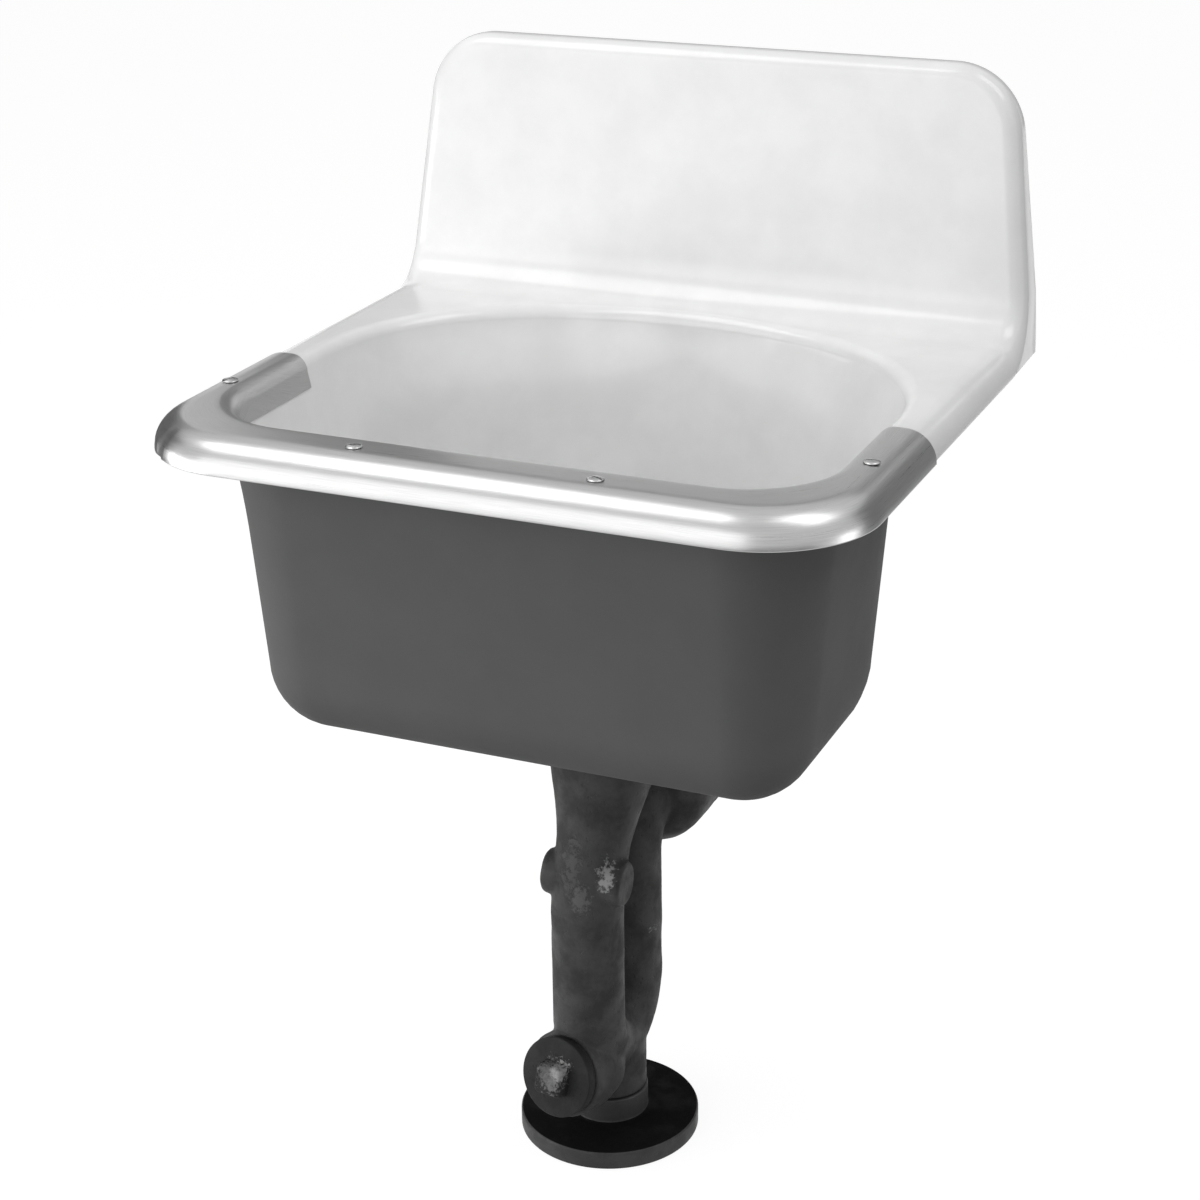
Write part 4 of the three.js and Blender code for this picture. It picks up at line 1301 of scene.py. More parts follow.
    def under_rings(self) -> list[list[Vector]]:
        """The rings of the painted skin, from the outer edge's lower end back to the outlet."""
        shape, iron, edge = self.shape, self.shape.iron, self.lower_edge
        rings = []
        for turn in spread(0, QUARTER, self.edge_steps):
            inset = iron - edge * (1 - math.sin(turn))
            rings.append(self.edge_ring(inset, edge * (1 - math.cos(turn))))
        rings += [self.edge_roll_ring(turn, iron) for turn in spread(QUARTER, 0, self.roll_steps // 2)]
        rings += [self.deck_ring(k, iron) for k in reversed(range(shape.cove_steps + 1))]
        rings += [self.bowl_roll_ring(t, iron) for t in spread(0, 1, self.roll_steps // 2)]
        levels = spread(shape.wall_top, shape.fillet_top, self.wall_steps)[1:-1]
        rings += [self.wall_ring(level, -iron) for level in levels]
        low, radius = shape.floor_edge - iron, shape.floor_radius + iron
        rings += self.floor_rings(low, -iron, radius, shape.boss_radius, shape.underside)[::-1]
        for radius in (shape.boss_radius, shape.outlet_bore / 2):
            rings.append(self.circle_ring(radius, shape.outlet_face))
        return rings

    def shell(self) -> MeshData:
        """The casting's whole skin, enamelled above and painted below."""
        upper, columns = self.upper_rings(), len(self.shape.stations)
        rings = upper + self.under_rings()
        faces = grid_faces(len(rings), columns, wrap_rows=True)
        slots = [0 if i // columns < len(upper) else 1 for i in range(len(faces))]
        return MeshData(np.array([tuple(p) for ring in rings for p in ring]), faces, slots)

    def rib(self) -> MeshData:
        """The rib behind the cove, which bears on the wall."""
        shape = self.shape
        reach = shape.half_width - self.rib_from_side
        radius = shape.cove_radius + shape.iron / 2
        front = shape.cove_start + math.sqrt(radius**2 - shape.cove_level**2) + self.rib_sunk
        half = self.rib_height / 2
        return block((-reach, front, -half), (reach, 0.0, half), self.rib_edge)

    def hook(self, x: float) -> MeshData:
        """A hook behind the back: a ledge with a lip that hangs down.

        Args:
            x: the place of its middle across.

        Returns:
            The hook.
        """
        shape = self.shape
        top = self.hook_level + self.hook_thick
        face = -mix(shape.back_thick_low, shape.back_thick_top, self.hook_level / shape.back_height)
        front = face + shape.iron / 2
        low = self.hook_level - self.hook_lip_length
        inside = self.hook_back - self.hook_lip
        inner_edge, tip_edge, outer_edge = self.hook_edges
        outline = [
            (front, self.hook_level, 0),
            (inside, self.hook_level, inner_edge),
            (inside, low, tip_edge),
            (self.hook_back, low, tip_edge),
            (self.hook_back, top, outer_edge),
            (front, top, 0),
        ]
        flat = drawn_up(rounded(outline, closed=True), x - self.hook_width / 2, x + self.hook_width / 2)
        across = Matrix(((0, 0, 1, 0), (1, 0, 0, 0), (0, 1, 0, 0), (0, 0, 0, 1)))
        return flat.moved(across)

    def build(self) -> None:
        """Places the casting, its rib and its hooks."""
        finishes, node = [Enamel(), BOWL_PAINT], ["sink_casting"]
        place_piece("sink_enamelled_iron", self.shell(), finishes, "sink", node)
        place_piece("sink_wall_rib", self.rib(), [BOWL_PAINT], "sink")
        for side, x in (("left", -self.hook_spacing / 2), ("right", self.hook_spacing / 2)):
            place_piece(f"sink_hook_{side}", self.hook(x), [BOWL_PAINT], "sink")


@dataclass
class RimGuard:
    """The bent steel sheet over the front rim, with its four screws."""

    shape: SinkShape
    thick: float = 0.0015
    inner_drop: float = 0.026
    roll_steps: int = 12
    flat_steps: int = 6
    edge_round: float = 0.0005
    pucker_depth: float = 0.0011
    pucker_width: float = 0.0034
    front_screw_x: float = 0.093
    front_screw_inset: float = 0.0315
    side_screw_inset: float = 0.0234
    side_screw_from_front: float = 0.1338
    screw_head: float = 0.00625
    screw_head_height: float = 0.0018
    screw_slot: float = 0.0013
    screw_seat: float = 0.0003
    screw_shank: float = 0.0022
    screw_length: float = 0.004
    folds: tuple[tuple[float, float, float], ...] = ((0.047, 0.006, 1.0), (0.071, 0.011, 1.25))

    def section(self, station: Station, lift: float) -> list[Vector]:
        """One section of a skin of the guard.

        Args:
            station: the place round the sink.
            lift: how far under the outer skin.

        Returns:
            Its points, from the lower edge outside to the lower edge in the bowl.
        """
        shape = self.shape
        outset = shape.proud - lift
        outer_radius, inner_radius = shape.deck_roll + outset, shape.bowl_roll + outset
        top = shape.deck + outset

        def at(start: Vector, way: Vector, shift: float, level: float) -> Vector:
            """A point shifted outwards from an edge, at a level."""
            p = start + way * shift
            return Vector((p.x, p.y, level))

        points = [at(station.outer, station.outward, outset, -shape.rim_drop)]
        for turn in spread(0, QUARTER, self.roll_steps):
            shift = outset - outer_radius * (1 - math.cos(turn))
            level = top - outer_radius * (1 - math.sin(turn))
            points.append(at(station.outer, station.outward, shift, level))
        start, inner = points[-1], []
        for turn in spread(QUARTER, 0, self.roll_steps):
            shift = inner_radius * (1 - math.cos(turn)) - outset
            level = top - inner_radius * (1 - math.sin(turn))
            inner.append(at(station.inner, station.inward, shift, level))
        points += [start.lerp(inner[0], t) for t in spread(0, 1, self.flat_steps)[1:-1]] + inner
        drop = shape.wall_top + self.inner_drop
        lean = shape.shoulder_at(station) * drop / (shape.wall_top + shape.shoulder_drop)
        points.append(at(station.inner, station.inward, -outset - lean, -self.inner_drop))
        return points

    def pucker(self, station: Station, number: int) -> float:
        """How far the sheet has drawn in, in two small folds from the bending of the left corner.

        Args:
            station: the place round the sink.
            number: the point's number in the outer roll, from its lower end.

        Returns:
            The way in, negative where the sheet stands out.
        """
        if number > self.roll_steps or station.outer.x > 0:
            return 0.0
        angle = math.atan2(-station.outward.y, -station.outward.x)
        around = angle * self.shape.corner_radius
        down = 1 - number / self.roll_steps
        depth = 0.0
        for middle, slant, strength in self.folds:
            off = (around - middle - slant * (1 - down)) / self.pucker_width
            depth += strength * math.exp(-off * off) * (1 - 2 * off) * smooth(down * 1.6)
        return depth * self.pucker_depth

    def edge_round_between(self, start: Vector, end: Vector) -> list[Vector]:
        """The points of a lower edge that rounds from one skin to the other.

        Args:
            start: the end of the first skin.
            end: the end of the second skin.

        Returns:
            The points between them.
        """
        middle, points = (start + end) / 2, []
        for turn in spread(0, math.pi, 4)[1:-1]:
            down = Vector((0, 0, -self.edge_round * math.sin(turn)))
            points.append(middle + (start - middle) * math.cos(turn) + down)
        return points

    def sheet(self) -> MeshData:
        """The bent sheet, with two skins and rounded edges."""
        stations = self.shape.front_stations()
        rows, lay = [], []
        along = 0.0
        for i, st in enumerate(stations):
            if i:
                along += (st.outer - stations[i - 1].outer).length
            over, under = self.section(st, 0.0), self.section(st, self.thick)
            for k in range(self.roll_steps + 1):
                drawn = st.outward.to_3d() * -max(0.0, self.pucker(st, k))
                over[k], under[k] = over[k] + drawn, under[k] + drawn * 0.6
            row = over + self.edge_round_between(over[-1], under[-1]) + under[::-1]
            row += self.edge_round_between(under[0], over[0])
            across = [0.0]
            for a, b in zip(row, row[1:]):
                across.append(across[-1] + (b - a).length)
            rows.append(row)
            lay += [(along, value) for value in across]
        points = np.array([tuple(p) for row in rows for p in row])
        columns = len(rows[0])
        faces = grid_faces(len(rows), columns)
        last = (len(rows) - 1) * columns
        for k in range(columns // 2):
            a, b, c, d = k, k + 1, (columns - k - 2) % columns, (columns - k - 1) % columns
            if len({a, b, c, d}) == 4:
                faces.append((a, b, c, d))
                faces.append((last + d, last + c, last + b, last + a))
        return MeshData(points, faces, lay=np.array(lay))

    def screw(self) -> bpy.types.Mesh:
        """A low oval head with a slot, on the guard."""
        head, height, seat = self.screw_head, self.screw_head_height, self.screw_seat
        shank, end = self.screw_shank, -self.screw_length
        profile = [(0.0, end), (shank, end), (shank, seat)]
        profile += [(head * 0.97, seat), (head, seat + height * 0.2)]
        for turn in spread(0.15, QUARTER, 8)[:-1]:
            profile.append((head * math.cos(turn) ** 0.8, seat + height * (0.2 + 0.8 * math.sin(turn))))
        profile.append((0.0, seat + height))
        return slotted(profile, head * 1.2, self.screw_slot, seat + height * 0.35, 0.02)

    def build(self) -> None:
        """Places the sheet and its screws."""
        place_piece("rim_guard_sheet", self.sheet(), [BrushedSteel()], "sink", ["rim_guard"])
        front = -self.shape.depth + self.front_screw_inset
        side_x = self.shape.width / 2 - self.side_screw_inset
        side_y = -self.shape.depth + self.side_screw_from_front
        places = {
            "front_left": (-self.front_screw_x, front, 0.5),
            "front_right": (self.front_screw_x, front, -0.35),
            "side_left": (-side_x, side_y, 1.1),
            "side_right": (side_x, side_y, 0.2),
        }
        for name, (x, y, turn) in places.items():
            head = self.screw()
            head.transform(Matrix.Translation((x, y, 0)) @ Matrix.Rotation(turn, 4, "Z"))
            node = [f"rim_guard_screw_{name}"]
            place_piece(f"guard_screw_{name}", head, [SCREW_STEEL], "sink", node)


# ------------------------------------------------------------------ outlet and strainer
@dataclass
class Strainer:
    """The drilled plate over the drain, its bolts and the rubber rings by the bowl's bottom."""

    shape: SinkShape
    diameter: float = 0.107
    thick: float = 0.003
    hole: float = 0.0085
    rows: tuple[tuple[float, int], ...] = ((0.0, 1), (0.013, 6), (0.026, 12))
    gasket: float = 0.002
    outlet_gasket: float = 0.003
    flange_diameter: float = 0.124
    touch: float = 0.0003
    bolt_circle: float = 0.094
    bolt_count: int = 3
    bolt_head: float = 0.011
    bolt_head_height: float = 0.003
    bolt_slot: float = 0.0014
    bolt_slot_depth: float = 0.0012
    bolt_edges: tuple[float, float] = (0.0003, 0.0016)
    bolt_shank: float = 0.006
    bolt_length: float = 0.004
    bore_clearance: float = 0.001
    countersink: float = 0.0006
    past: float = 0.002
    edge: float = 0.0007

    def __post_init__(self) -> None:
        """Works out the plate's levels and place."""
        self.underside = self.shape.recess_floor + self.gasket + 2 * self.touch
        self.top = self.underside + self.thick

    def ring(self, outer: float, inner: float, low: float, high: float) -> MeshData:
        """A flat ring with rounded edges round the outlet's axis."""
        corners = [(inner, low), (outer, low), (outer, high), (inner, high)]
        return turned(rounded([(r, z, self.edge) for r, z in corners], 3, True)).moved(OUTLET_AXIS)

    def plate(self) -> bpy.types.Mesh:
        """The drilled plate, slightly countersunk at each hole."""
        drills = []
        for circle, count in self.rows:
            for i in range(count):
                drills.append(self.drill(towards(WHOLE * (i + 0.5) / count) * circle))
        plate = cylinder(self.diameter / 2, self.underside, self.top, self.edge)
        return combined(plate.moved(OUTLET_AXIS), [together(drills)])

    def drill(self, way: Vector) -> MeshData:
        """A drill that leaves a hole with a small countersink at the top.

        Args:
            way: the hole's place from the outlet's axis.

        Returns:
            The drill.
        """
        radius, low, sink = self.hole / 2, self.underside - self.past, self.countersink
        high = self.top + 2 * sink
        section = [(0, low), (radius, low), (radius, self.top - sink), (radius + 3 * sink, high), (0, high)]
        return turned(section, 24).moved(OUTLET_AXIS @ Matrix.Translation(way.to_3d()))

    def bolt(self) -> bpy.types.Mesh:
        """A pan-headed bolt with a slot, standing on the plate."""
        head, shank, low = self.bolt_head / 2, self.bolt_shank / 2, self.top + self.touch
        high, end = low + self.bolt_head_height, low - self.bolt_length
        lower_edge, upper_edge = self.bolt_edges
        corners = [(0, end, 0), (shank, end, 0), (shank, low, 0), (head, low, lower_edge)]
        corners += [(head * 0.96, high, upper_edge), (0, high, 0)]
        slot_floor = high - self.bolt_slot_depth
        return slotted(rounded(corners), head * 1.3, self.bolt_slot, slot_floor, high + 0.01)

    def build(self) -> None:
        """Places the plate, its bolts and both rings."""
        plate, node = self.plate(), ["strainer_plate"]
        place_piece("strainer_drilled_plate", plate, [STRAINER_STEEL], "sink", node)
        bore = self.shape.outlet_bore / 2 + self.bore_clearance
        low, high = self.shape.recess_floor + self.touch, self.shape.outlet_face - self.touch
        upper = self.ring(self.diameter / 2, bore, low, low + self.gasket)
        lower = self.ring(self.flange_diameter / 2, bore, high - self.outlet_gasket, high)
        for name, ring in (("strainer", upper), ("outlet", lower)):
            place_piece(f"{name}_rubber_ring", ring, [RUBBER], "sink", [f"{name}_gasket"])
        for i in range(self.bolt_count):
            way = towards(QUARTER + WHOLE * i / self.bolt_count) * (self.bolt_circle / 2)
            bolt, node = self.bolt(), [f"strainer_bolt_{i + 1}"]
            turn = Matrix.Rotation(0.8 + 1.3 * i, 4, "Z")
            bolt.transform(OUTLET_AXIS @ Matrix.Translation(way.to_3d()) @ turn)
            place_piece(f"strainer_slotted_bolt_{i + 1}", bolt, [SCREW_STEEL], "sink", node)


# ------------------------------------------------------------------ the trap
@dataclass
class Trap:
    """The cast trap from the bowl's outlet to the wall and down to the foot."""

    top: float = -0.2831
    leg_spacing: float = 0.082
    leg: float = 0.060
    waterway: float = 0.048
    flange_diameter: float = 0.124
    flange_thick: float = 0.012
    inlet: float = 0.091
    inlet_bore: float = 0.076
    cone_start: float = 0.027
    cone_length: float = 0.090
    sway_start: float = 0.008
    sway_length: float = 0.166
    bend_level: float = -0.546
    arm_level: float = -0.391
    arm_bend: float = 0.042
    hub_diameter: float = 0.108
    hub_face: float = -0.095
    hub_length: float = 0.065
    hub_socket: float = 0.087
    hub_socket_depth: float = 0.034
    hub_shoulder: float = 0.0335
    boss_diameter: float = 0.038
    boss_span: float = 0.070
    boss_level: float = -0.417
    boss_edge: float = 0.003
    stub_diameter: float = 0.064
    stub_bottom: float = -0.6355
    stub_socket_depth: float = 0.017
    nipple_diameter: float = 0.042
    barrel_diameter: float = 0.073
    barrel_root: float = 0.060
    barrel_length: float = 0.050
    edge: float = 0.002
    voxel: float = 0.0014
    sharp: float = math.radians(32)
    soften_steps: int = 9
    lump: float = 0.00045
    lump_scale: float = 55.0
    lump_margin: float = 0.004
    past: float = 0.002
    overlap: float = 0.001
    clearance: float = 0.0003
    barrel_ease: float = 0.02
    flange_edge: float = 0.0015
    small_edge: float = 0.0012

    def __post_init__(self) -> None:
        """Works out the hub's frame, whose z = 0 is its face and whose +Z points to the wall."""
        upright = Matrix.Rotation(-QUARTER, 4, "X")
        self.hub_place = Matrix.Translation((0, self.hub_face, self.arm_level)) @ upright

    def line(self) -> list[tuple[float, float, float, float]]:
        """The centre line in the plane x = 0, as y, z, outer radius and inner radius."""
        bend, arm = self.leg_spacing / 2, self.arm_bend
        pipe, bore = self.leg / 2, self.waterway / 2
        points = []
        for z in spread(self.top, self.top - self.sway_start - self.sway_length, 28):
            sway = smooth((self.top - self.sway_start - z) / self.sway_length)
            cone = smooth((self.top - self.cone_start - z) / self.cone_length)
            y = mix(-OUTLET_FROM_WALL, -OUTLET_FROM_WALL - bend, sway)
            outer, inner = mix(self.inlet, self.leg, cone), mix(self.inlet_bore, self.waterway, cone)
            points.append((y, z, outer / 2, inner / 2))
        for angle in spread(math.pi, WHOLE, 28):
            y = -OUTLET_FROM_WALL + bend * math.cos(angle)
            points.append((y, self.bend_level + bend * math.sin(angle), pipe, bore))
        for angle in spread(math.pi, QUARTER, 16):
            y = -OUTLET_FROM_WALL + bend + arm * (1 + math.cos(angle))
            points.append((y, self.arm_level - arm * (1 - math.sin(angle)), pipe, bore))
        end = self.hub_face - self.hub_socket_depth + self.overlap
        points.append((end, self.arm_level, pipe, bore))
        return points

    def pipe(self, which: int, past: float, sides: int = 64) -> MeshData:
        """The pipe along the centre line.

        Args:
            which: 2 for its outside, 3 for its waterway.
            past: how far it runs on at both ends.
            sides: how many sides it has.

        Returns:
            The closed pipe.
        """
        line = self.line()
        first, last = line[0], line[-1]
        line[0] = (first[0], first[1] + past, *first[2:])
        line[-1] = (last[0] + past, *last[1:])
        rings, angles = [], np.linspace(0, WHOLE, sides, endpoint=False)
        for i, point in enumerate(line):
            before, after = line[max(0, i - 1)], line[min(len(line) - 1, i + 1)]
            along = Vector((after[0] - before[0], after[1] - before[1])).normalized()
            if i == 0:
                along = Vector((0, -1))
            side, across = point[which] * np.cos(angles), point[which] * np.sin(angles)
            rings.append(np.stack([side, point[0] - along.y * across, point[1] + along.x * across], axis=1))
        return lofted(rings)

    def hub(self) -> MeshData:
        """The hub for the waste pipe, with its rounded shoulder."""
        radius = self.hub_diameter / 2
        profile: Profile = []
        for turn in spread(0, QUARTER, 10):
            profile.append((radius * math.sin(turn), -self.hub_length - self.hub_shoulder * math.cos(turn)))
        profile += [(radius, -self.edge), (radius - self.edge, 0), (0, 0)]
        return turned(profile).moved(self.hub_place)

    def upright(self, low: float, high: float, radius: float, edge: float = 0.0) -> MeshData:
        """An upright cylinder on the outlet's axis."""
        return cylinder(radius, low, high, edge).moved(OUTLET_AXIS)

    def side_bosses(self) -> MeshData:
        """The two small round bosses on the front leg's sides."""
        half = self.boss_span / 2
        place = Matrix.Translation((0, -OUTLET_FROM_WALL - self.leg_spacing / 2, self.boss_level))
        bosses = cylinder(self.boss_diameter / 2, -half, half, self.boss_edge)
        return bosses.moved(place @ Matrix.Rotation(QUARTER, 4, "Y"))

    def barrel(self, cleanout: "Cleanout") -> MeshData:
        """The cleanout's barrel.

        Args:
            cleanout: the plug that closes it.

        Returns:
            The barrel.
        """
        face, half = cleanout.barrel_face, self.barrel_length / 2
        outer, root = self.barrel_diameter / 2, self.barrel_root / 2
        corners = [(0, face - 2 * half, 0), (root, face - 2 * half, 0)]
        corners += [(outer, face - half, self.barrel_ease), (outer, face, self.small_edge), (0, face, 0)]
        return turned(rounded(corners)).moved(cleanout.place)

    def casting(self, cleanout: "Cleanout") -> bpy.types.Mesh:
        """The whole casting: its parts run into each other with soft fillets, and its openings are cut.

        Args:
            cleanout: the plug that closes the casting's barrel.

        Returns:
            The casting.
        """
        bend_bottom, flange_bottom = self.bend_level - self.leg_spacing / 2, self.top - self.flange_thick
        solid = together(
            [
                self.pipe(2, 0.0),
                self.upright(flange_bottom, self.top, self.flange_diameter / 2, self.flange_edge),
                self.hub(),
                self.side_bosses(),
                self.barrel(cleanout),
                self.upright(self.stub_bottom, bend_bottom, self.stub_diameter / 2, self.small_edge),
            ]
        )

        fused = run_together(solid, self.voxel, self.soften_steps)
        self.add_lumps(fused, cleanout)
        socket, depth, past = self.hub_socket / 2, self.hub_socket_depth, self.past
        socket_top = self.stub_bottom + self.stub_socket_depth
        cutters = [
            self.pipe(3, past, 48),
            cylinder(socket, -depth, past).moved(self.hub_place),
            self.upright(self.stub_bottom - past, socket_top, self.nipple_diameter / 2 + self.clearance),
            cleanout.bore(),
            cleanout.spot_face(self.barrel_diameter / 2),
        ]
        return combined(fused, cutters)

    def add_lumps(self, mesh: bpy.types.Mesh, cleanout: "Cleanout") -> None:
        """Moves the skin a little in and out, as sand moulding leaves it, except at the flanges' faces.

        Args:
            mesh: the casting.
            cleanout: the plug that closes the casting's barrel.
        """
        to_cleanout = cleanout.place.inverted()

        def lump(p: Vector) -> float:
            """How far the skin stands out at a point."""
            near_face = abs((to_cleanout @ p).z - cleanout.barrel_face) < self.lump_margin
            near_end = p.z > self.top - self.flange_thick or p.z < self.stub_bottom + self.lump_margin
            if near_face or near_end:
                return 0.0
            fine = noise.noise(p * self.lump_scale * 4.1)
            return self.lump * (noise.noise(p * self.lump_scale) + 0.3 * fine)

        move_skin(mesh, lump)

    def build(self, cleanout: "Cleanout") -> None:
        """Places the casting."""
        casting, node = self.casting(cleanout), ["trap_casting"]
        place_piece("trap_iron", casting, [TRAP_COATING], "sink", node, self.sharp)


@dataclass
class Cleanout:
    """The plug at the trap's lowest bend, with its rubber ring."""

    turn: float = math.radians(11.6)
    tilt: float = math.radians(13.7)
    from_wall: float = 0.3363
    level: float = -0.5864
    side: float = 0.0122
    diameter: float = 0.068
    disc: float = 0.007
    head_width: float = 0.027
    head_height: float = 0.013
    head_taper: float = 0.92
    shank_diameter: float = 0.0554
    shank_length: float = 0.018
    thread_pitch: float = 0.00221
    thread_depth: float = 0.0012
    gasket: float = 0.003
    gasket_diameter: float = 0.0665
    clearance: float = 0.0003
    spot_margin: float = 0.0015
    chew: float = 0.0011
    chew_scale: float = 210.0
    chew_most: float = 0.25
    bore_room: float = 0.002
    bore_tip_length: float = 0.016
    bore_tip_radius: float = 0.0168
    overlap: float = 0.001
    lead_in: float = 0.0015
    hollow_end: float = 0.004
    disc_edges: tuple[float, float] = (0.0008, 0.0014)
    ring_edges: tuple[float, float] = (0.0006, 0.0009)
    sides: int = 120
    head_root: float = 0.002
    head_corner: float = 0.004
    head_voxel: float = 0.0006
    head_soften_steps: int = 5

    def __post_init__(self) -> None:
        """Works out the plug's frame, whose z = 0 is the disc's face and whose +Z points out."""
        frame_turn = Matrix.Rotation(-self.turn, 4, "Z") @ Matrix.Rotation(QUARTER - self.tilt, 4, "X")
        self.place = Matrix.Translation((-self.side, -self.from_wall, self.level)) @ frame_turn
        self.barrel_face = -self.disc - self.gasket - 2 * self.clearance

    def bore(self) -> MeshData:
        """The hole in the barrel."""
        radius = self.shank_diameter / 2 + self.clearance
        end = self.barrel_face - self.shank_length - self.bore_room
        tip, mouth = end - self.bore_tip_length, self.barrel_face + self.overlap
        profile = [(0, tip), (self.bore_tip_radius, tip), (radius, end), (radius, mouth), (0, mouth)]
        return turned(profile, 72).moved(self.place)

    def spot_face(self, barrel_radius: float) -> MeshData:
        """The room that is faced away round the disc."""
        radius = max(self.diameter / 2, barrel_radius) + self.spot_margin
        return cylinder(radius, self.barrel_face, self.head_height, sides=72).moved(self.place)

    def disc_and_shank(self) -> MeshData:
        """The round disc and the threaded shank behind it."""
        shank, disc = self.shank_diameter / 2, self.diameter / 2
        end, back = -self.disc - self.gasket - self.shank_length, -self.disc
        hollow, shoulder = end + self.hollow_end, shank - self.thread_depth * 1.5
        rows = [(0.0, hollow), (shank * 0.86, hollow), (shank * 0.9, end), (shoulder, end)]
        low, high = end + self.lead_in, back - self.overlap
        thread = threaded(shank, self.thread_depth, self.thread_pitch, low, high, self.sides)
        back_edge, face_edge = self.disc_edges
        edge = rounded([(shank, back, 0), (disc, back, back_edge), (disc, 0, face_edge), (0, 0, 0)], 5)
        return turned(rows + thread + edge, self.sides)

    def head(self) -> bpy.types.Mesh:
        """The square head, chewed by wrenches."""
        half, root = self.head_width / 2, self.head_root
        corners = [(-half, -half), (half, -half), (half, half), (-half, half)]
        rings = []
        for level in spread(-root, self.head_height, 10):
            share = mix(1.0, self.head_taper, (level + root) / (self.head_height + root))
            crown = max(0.0, level - self.head_height * 0.8) * 0.5
            size = [(x * share * (1 - crown / half), y * share * (1 - crown / half)) for x, y in corners]
            outline = rounded([(x, y, self.head_corner) for x, y in size], 4, True)
            rings.append([(x, y, level) for x, y in outline])
        head = run_together(lofted(rings, upwards=True), self.head_voxel, self.head_soften_steps)

        def bite(p: Vector) -> float:
            """How far the head's skin is bitten at a point, mostly inwards."""
            depth = noise.noise(p * self.chew_scale) + 0.6 * noise.noise(p * self.chew_scale * 2.7)
            return self.chew * smooth((p.z - 0.002) / 0.006) * min(self.chew_most, depth)

        move_skin(head, bite)
        return head

    def plug(self) -> bpy.types.Mesh:
        """Disc, threaded shank and square head."""
        made = combined(self.disc_and_shank(), [self.head()], Operation.JOIN)
        made.transform(self.place)
        return made

    def ring(self) -> MeshData:
        """The rubber ring between disc and barrel."""
        inner, outer = self.shank_diameter / 2 + self.clearance, self.gasket_diameter / 2
        front = -self.disc - self.clearance
        back = front - self.gasket
        inner_edge, outer_edge = self.ring_edges
        section = [(inner, back, inner_edge), (outer, back, outer_edge)]
        section += [(outer, front, outer_edge), (inner, front, inner_edge)]
        return turned(rounded(section, 4, True), self.sides).moved(self.place)

    def build(self) -> None:
        """Places the plug and its ring."""
        plug, node = self.plug(), ["cleanout_plug"]
        place_piece("cleanout_square_plug", plug, [PLUG_COATING], "cleanout_plug", node)
        ring, node = self.ring(), ["cleanout_gasket"]
        place_piece("cleanout_rubber_ring", ring, [RUBBER], "cleanout_seal", node)


# ------------------------------------------------------------------ foot and hangers
@dataclass
class Foot:
    """The round foot that moves up and down on a threaded nipple."""

    floor: float = -0.6745
    diameter: float = 0.153
    thick: float = 0.016
    bevel: float = 0.0025
    hub_diameter: float = 0.066
    hub_fillet: float = 0.003
    hub_top: float = -0.6358
    nipple_diameter: float = 0.042
    nipple_top: float = -0.6188
    nipple_above_floor: float = 0.002
    thread_depth: float = 0.001
    thread_pitch: float = 0.0022
    nipple_chamfer: float = 0.002
    clearance: float = 0.0003
    edges: tuple[float, float, float, float] = (0.0008, 0.0012, 0.0016, 0.0006)

    def flange(self) -> MeshData:
        """The flange with its hub, its upper face in a near-black finish of its own, which is painted shade
        from the sink above.
        """
        low, rim, hub = self.floor, self.diameter / 2, self.hub_diameter / 2
        bore_edge, rim_edge, hub_edge, mouth_edge = self.edges
        bore, plate = self.nipple_diameter / 2 + self.clearance, self.floor + self.thick
        corners = [
            (bore, low, bore_edge),
            (rim, low, rim_edge),
            (rim, plate, self.bevel),
            (hub, plate, self.hub_fillet),
            (hub, self.hub_top, hub_edge),
            (bore, self.hub_top, mouth_edge),
        ]
        section, sides, slots = rounded(corners, 6, True), 144, []
        shape = turned(section, sides)
        for (r0, z0), (r1, z1) in zip(section, section[1:] + section[:1]):
            # Faces of the plate's upper face take slot 1, the near-black painted shade of the sink above.
            on_plate = min(r0, r1) > hub - 0.0005 and max(r0, r1) < rim - 0.0008
            level = min(z0, z1) > plate - 0.001 and max(z0, z1) < plate + 0.0015
            slots += [1 if on_plate and level else 0] * sides
        return MeshData(shape.points, shape.faces, slots).moved(OUTLET_AXIS)

    def nipple(self) -> MeshData:
        """The threaded nipple on which the foot rises."""
        low, top, sides = self.floor + self.nipple_above_floor, self.nipple_top, 96
        radius, depth = self.nipple_diameter / 2, self.thread_depth
        end_radius = radius - self.nipple_chamfer
        thread = threaded(radius, depth, self.thread_pitch, low + depth, top - depth, sides)
        ends = [(0.0, low), (end_radius, low)], [(end_radius, top), (0.0, top)]
        return turned(ends[0] + thread + ends[1], sides).moved(OUTLET_AXIS)

    def build(self) -> None:
        """Places the flange and the nipple."""
        flange, node = self.flange(), ["floor_flange"]
        place_piece("foot_flange", flange, [FOOT_COATING, FOOT_TOP_PAINTED_SHADE], "floor_foot", node)
        nipple, node = self.nipple(), ["adjusting_nipple"]
        place_piece("foot_threaded_nipple", nipple, [PLAIN_STEEL], "sink", node)


@dataclass
class WallHangers:
    """The two steel plates on the wall, which keep the CAD part's own shape with eased edges."""

    edge: float = 0.0006
    weld: float = 0.00001

    def build(self) -> None:
        """Gives each plate its finish and eases its edges."""
        for side in ("left", "right"):
            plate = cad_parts[f"wall_hanger_{side}"]
            plate.data.materials.clear()
            plate.data.materials.append(PLAIN_STEEL.material())
            joined = plate.modifiers.new("joined corners", "WELD")
            joined.merge_threshold = self.weld
            eased = plate.modifiers.new("eased edges", "BEVEL")
            eased.width = self.edge
            eased.segments = 2
            eased.limit_method = "ANGLE"
            log.info("wall_hanger_%s: CAD shape, edges eased", side)


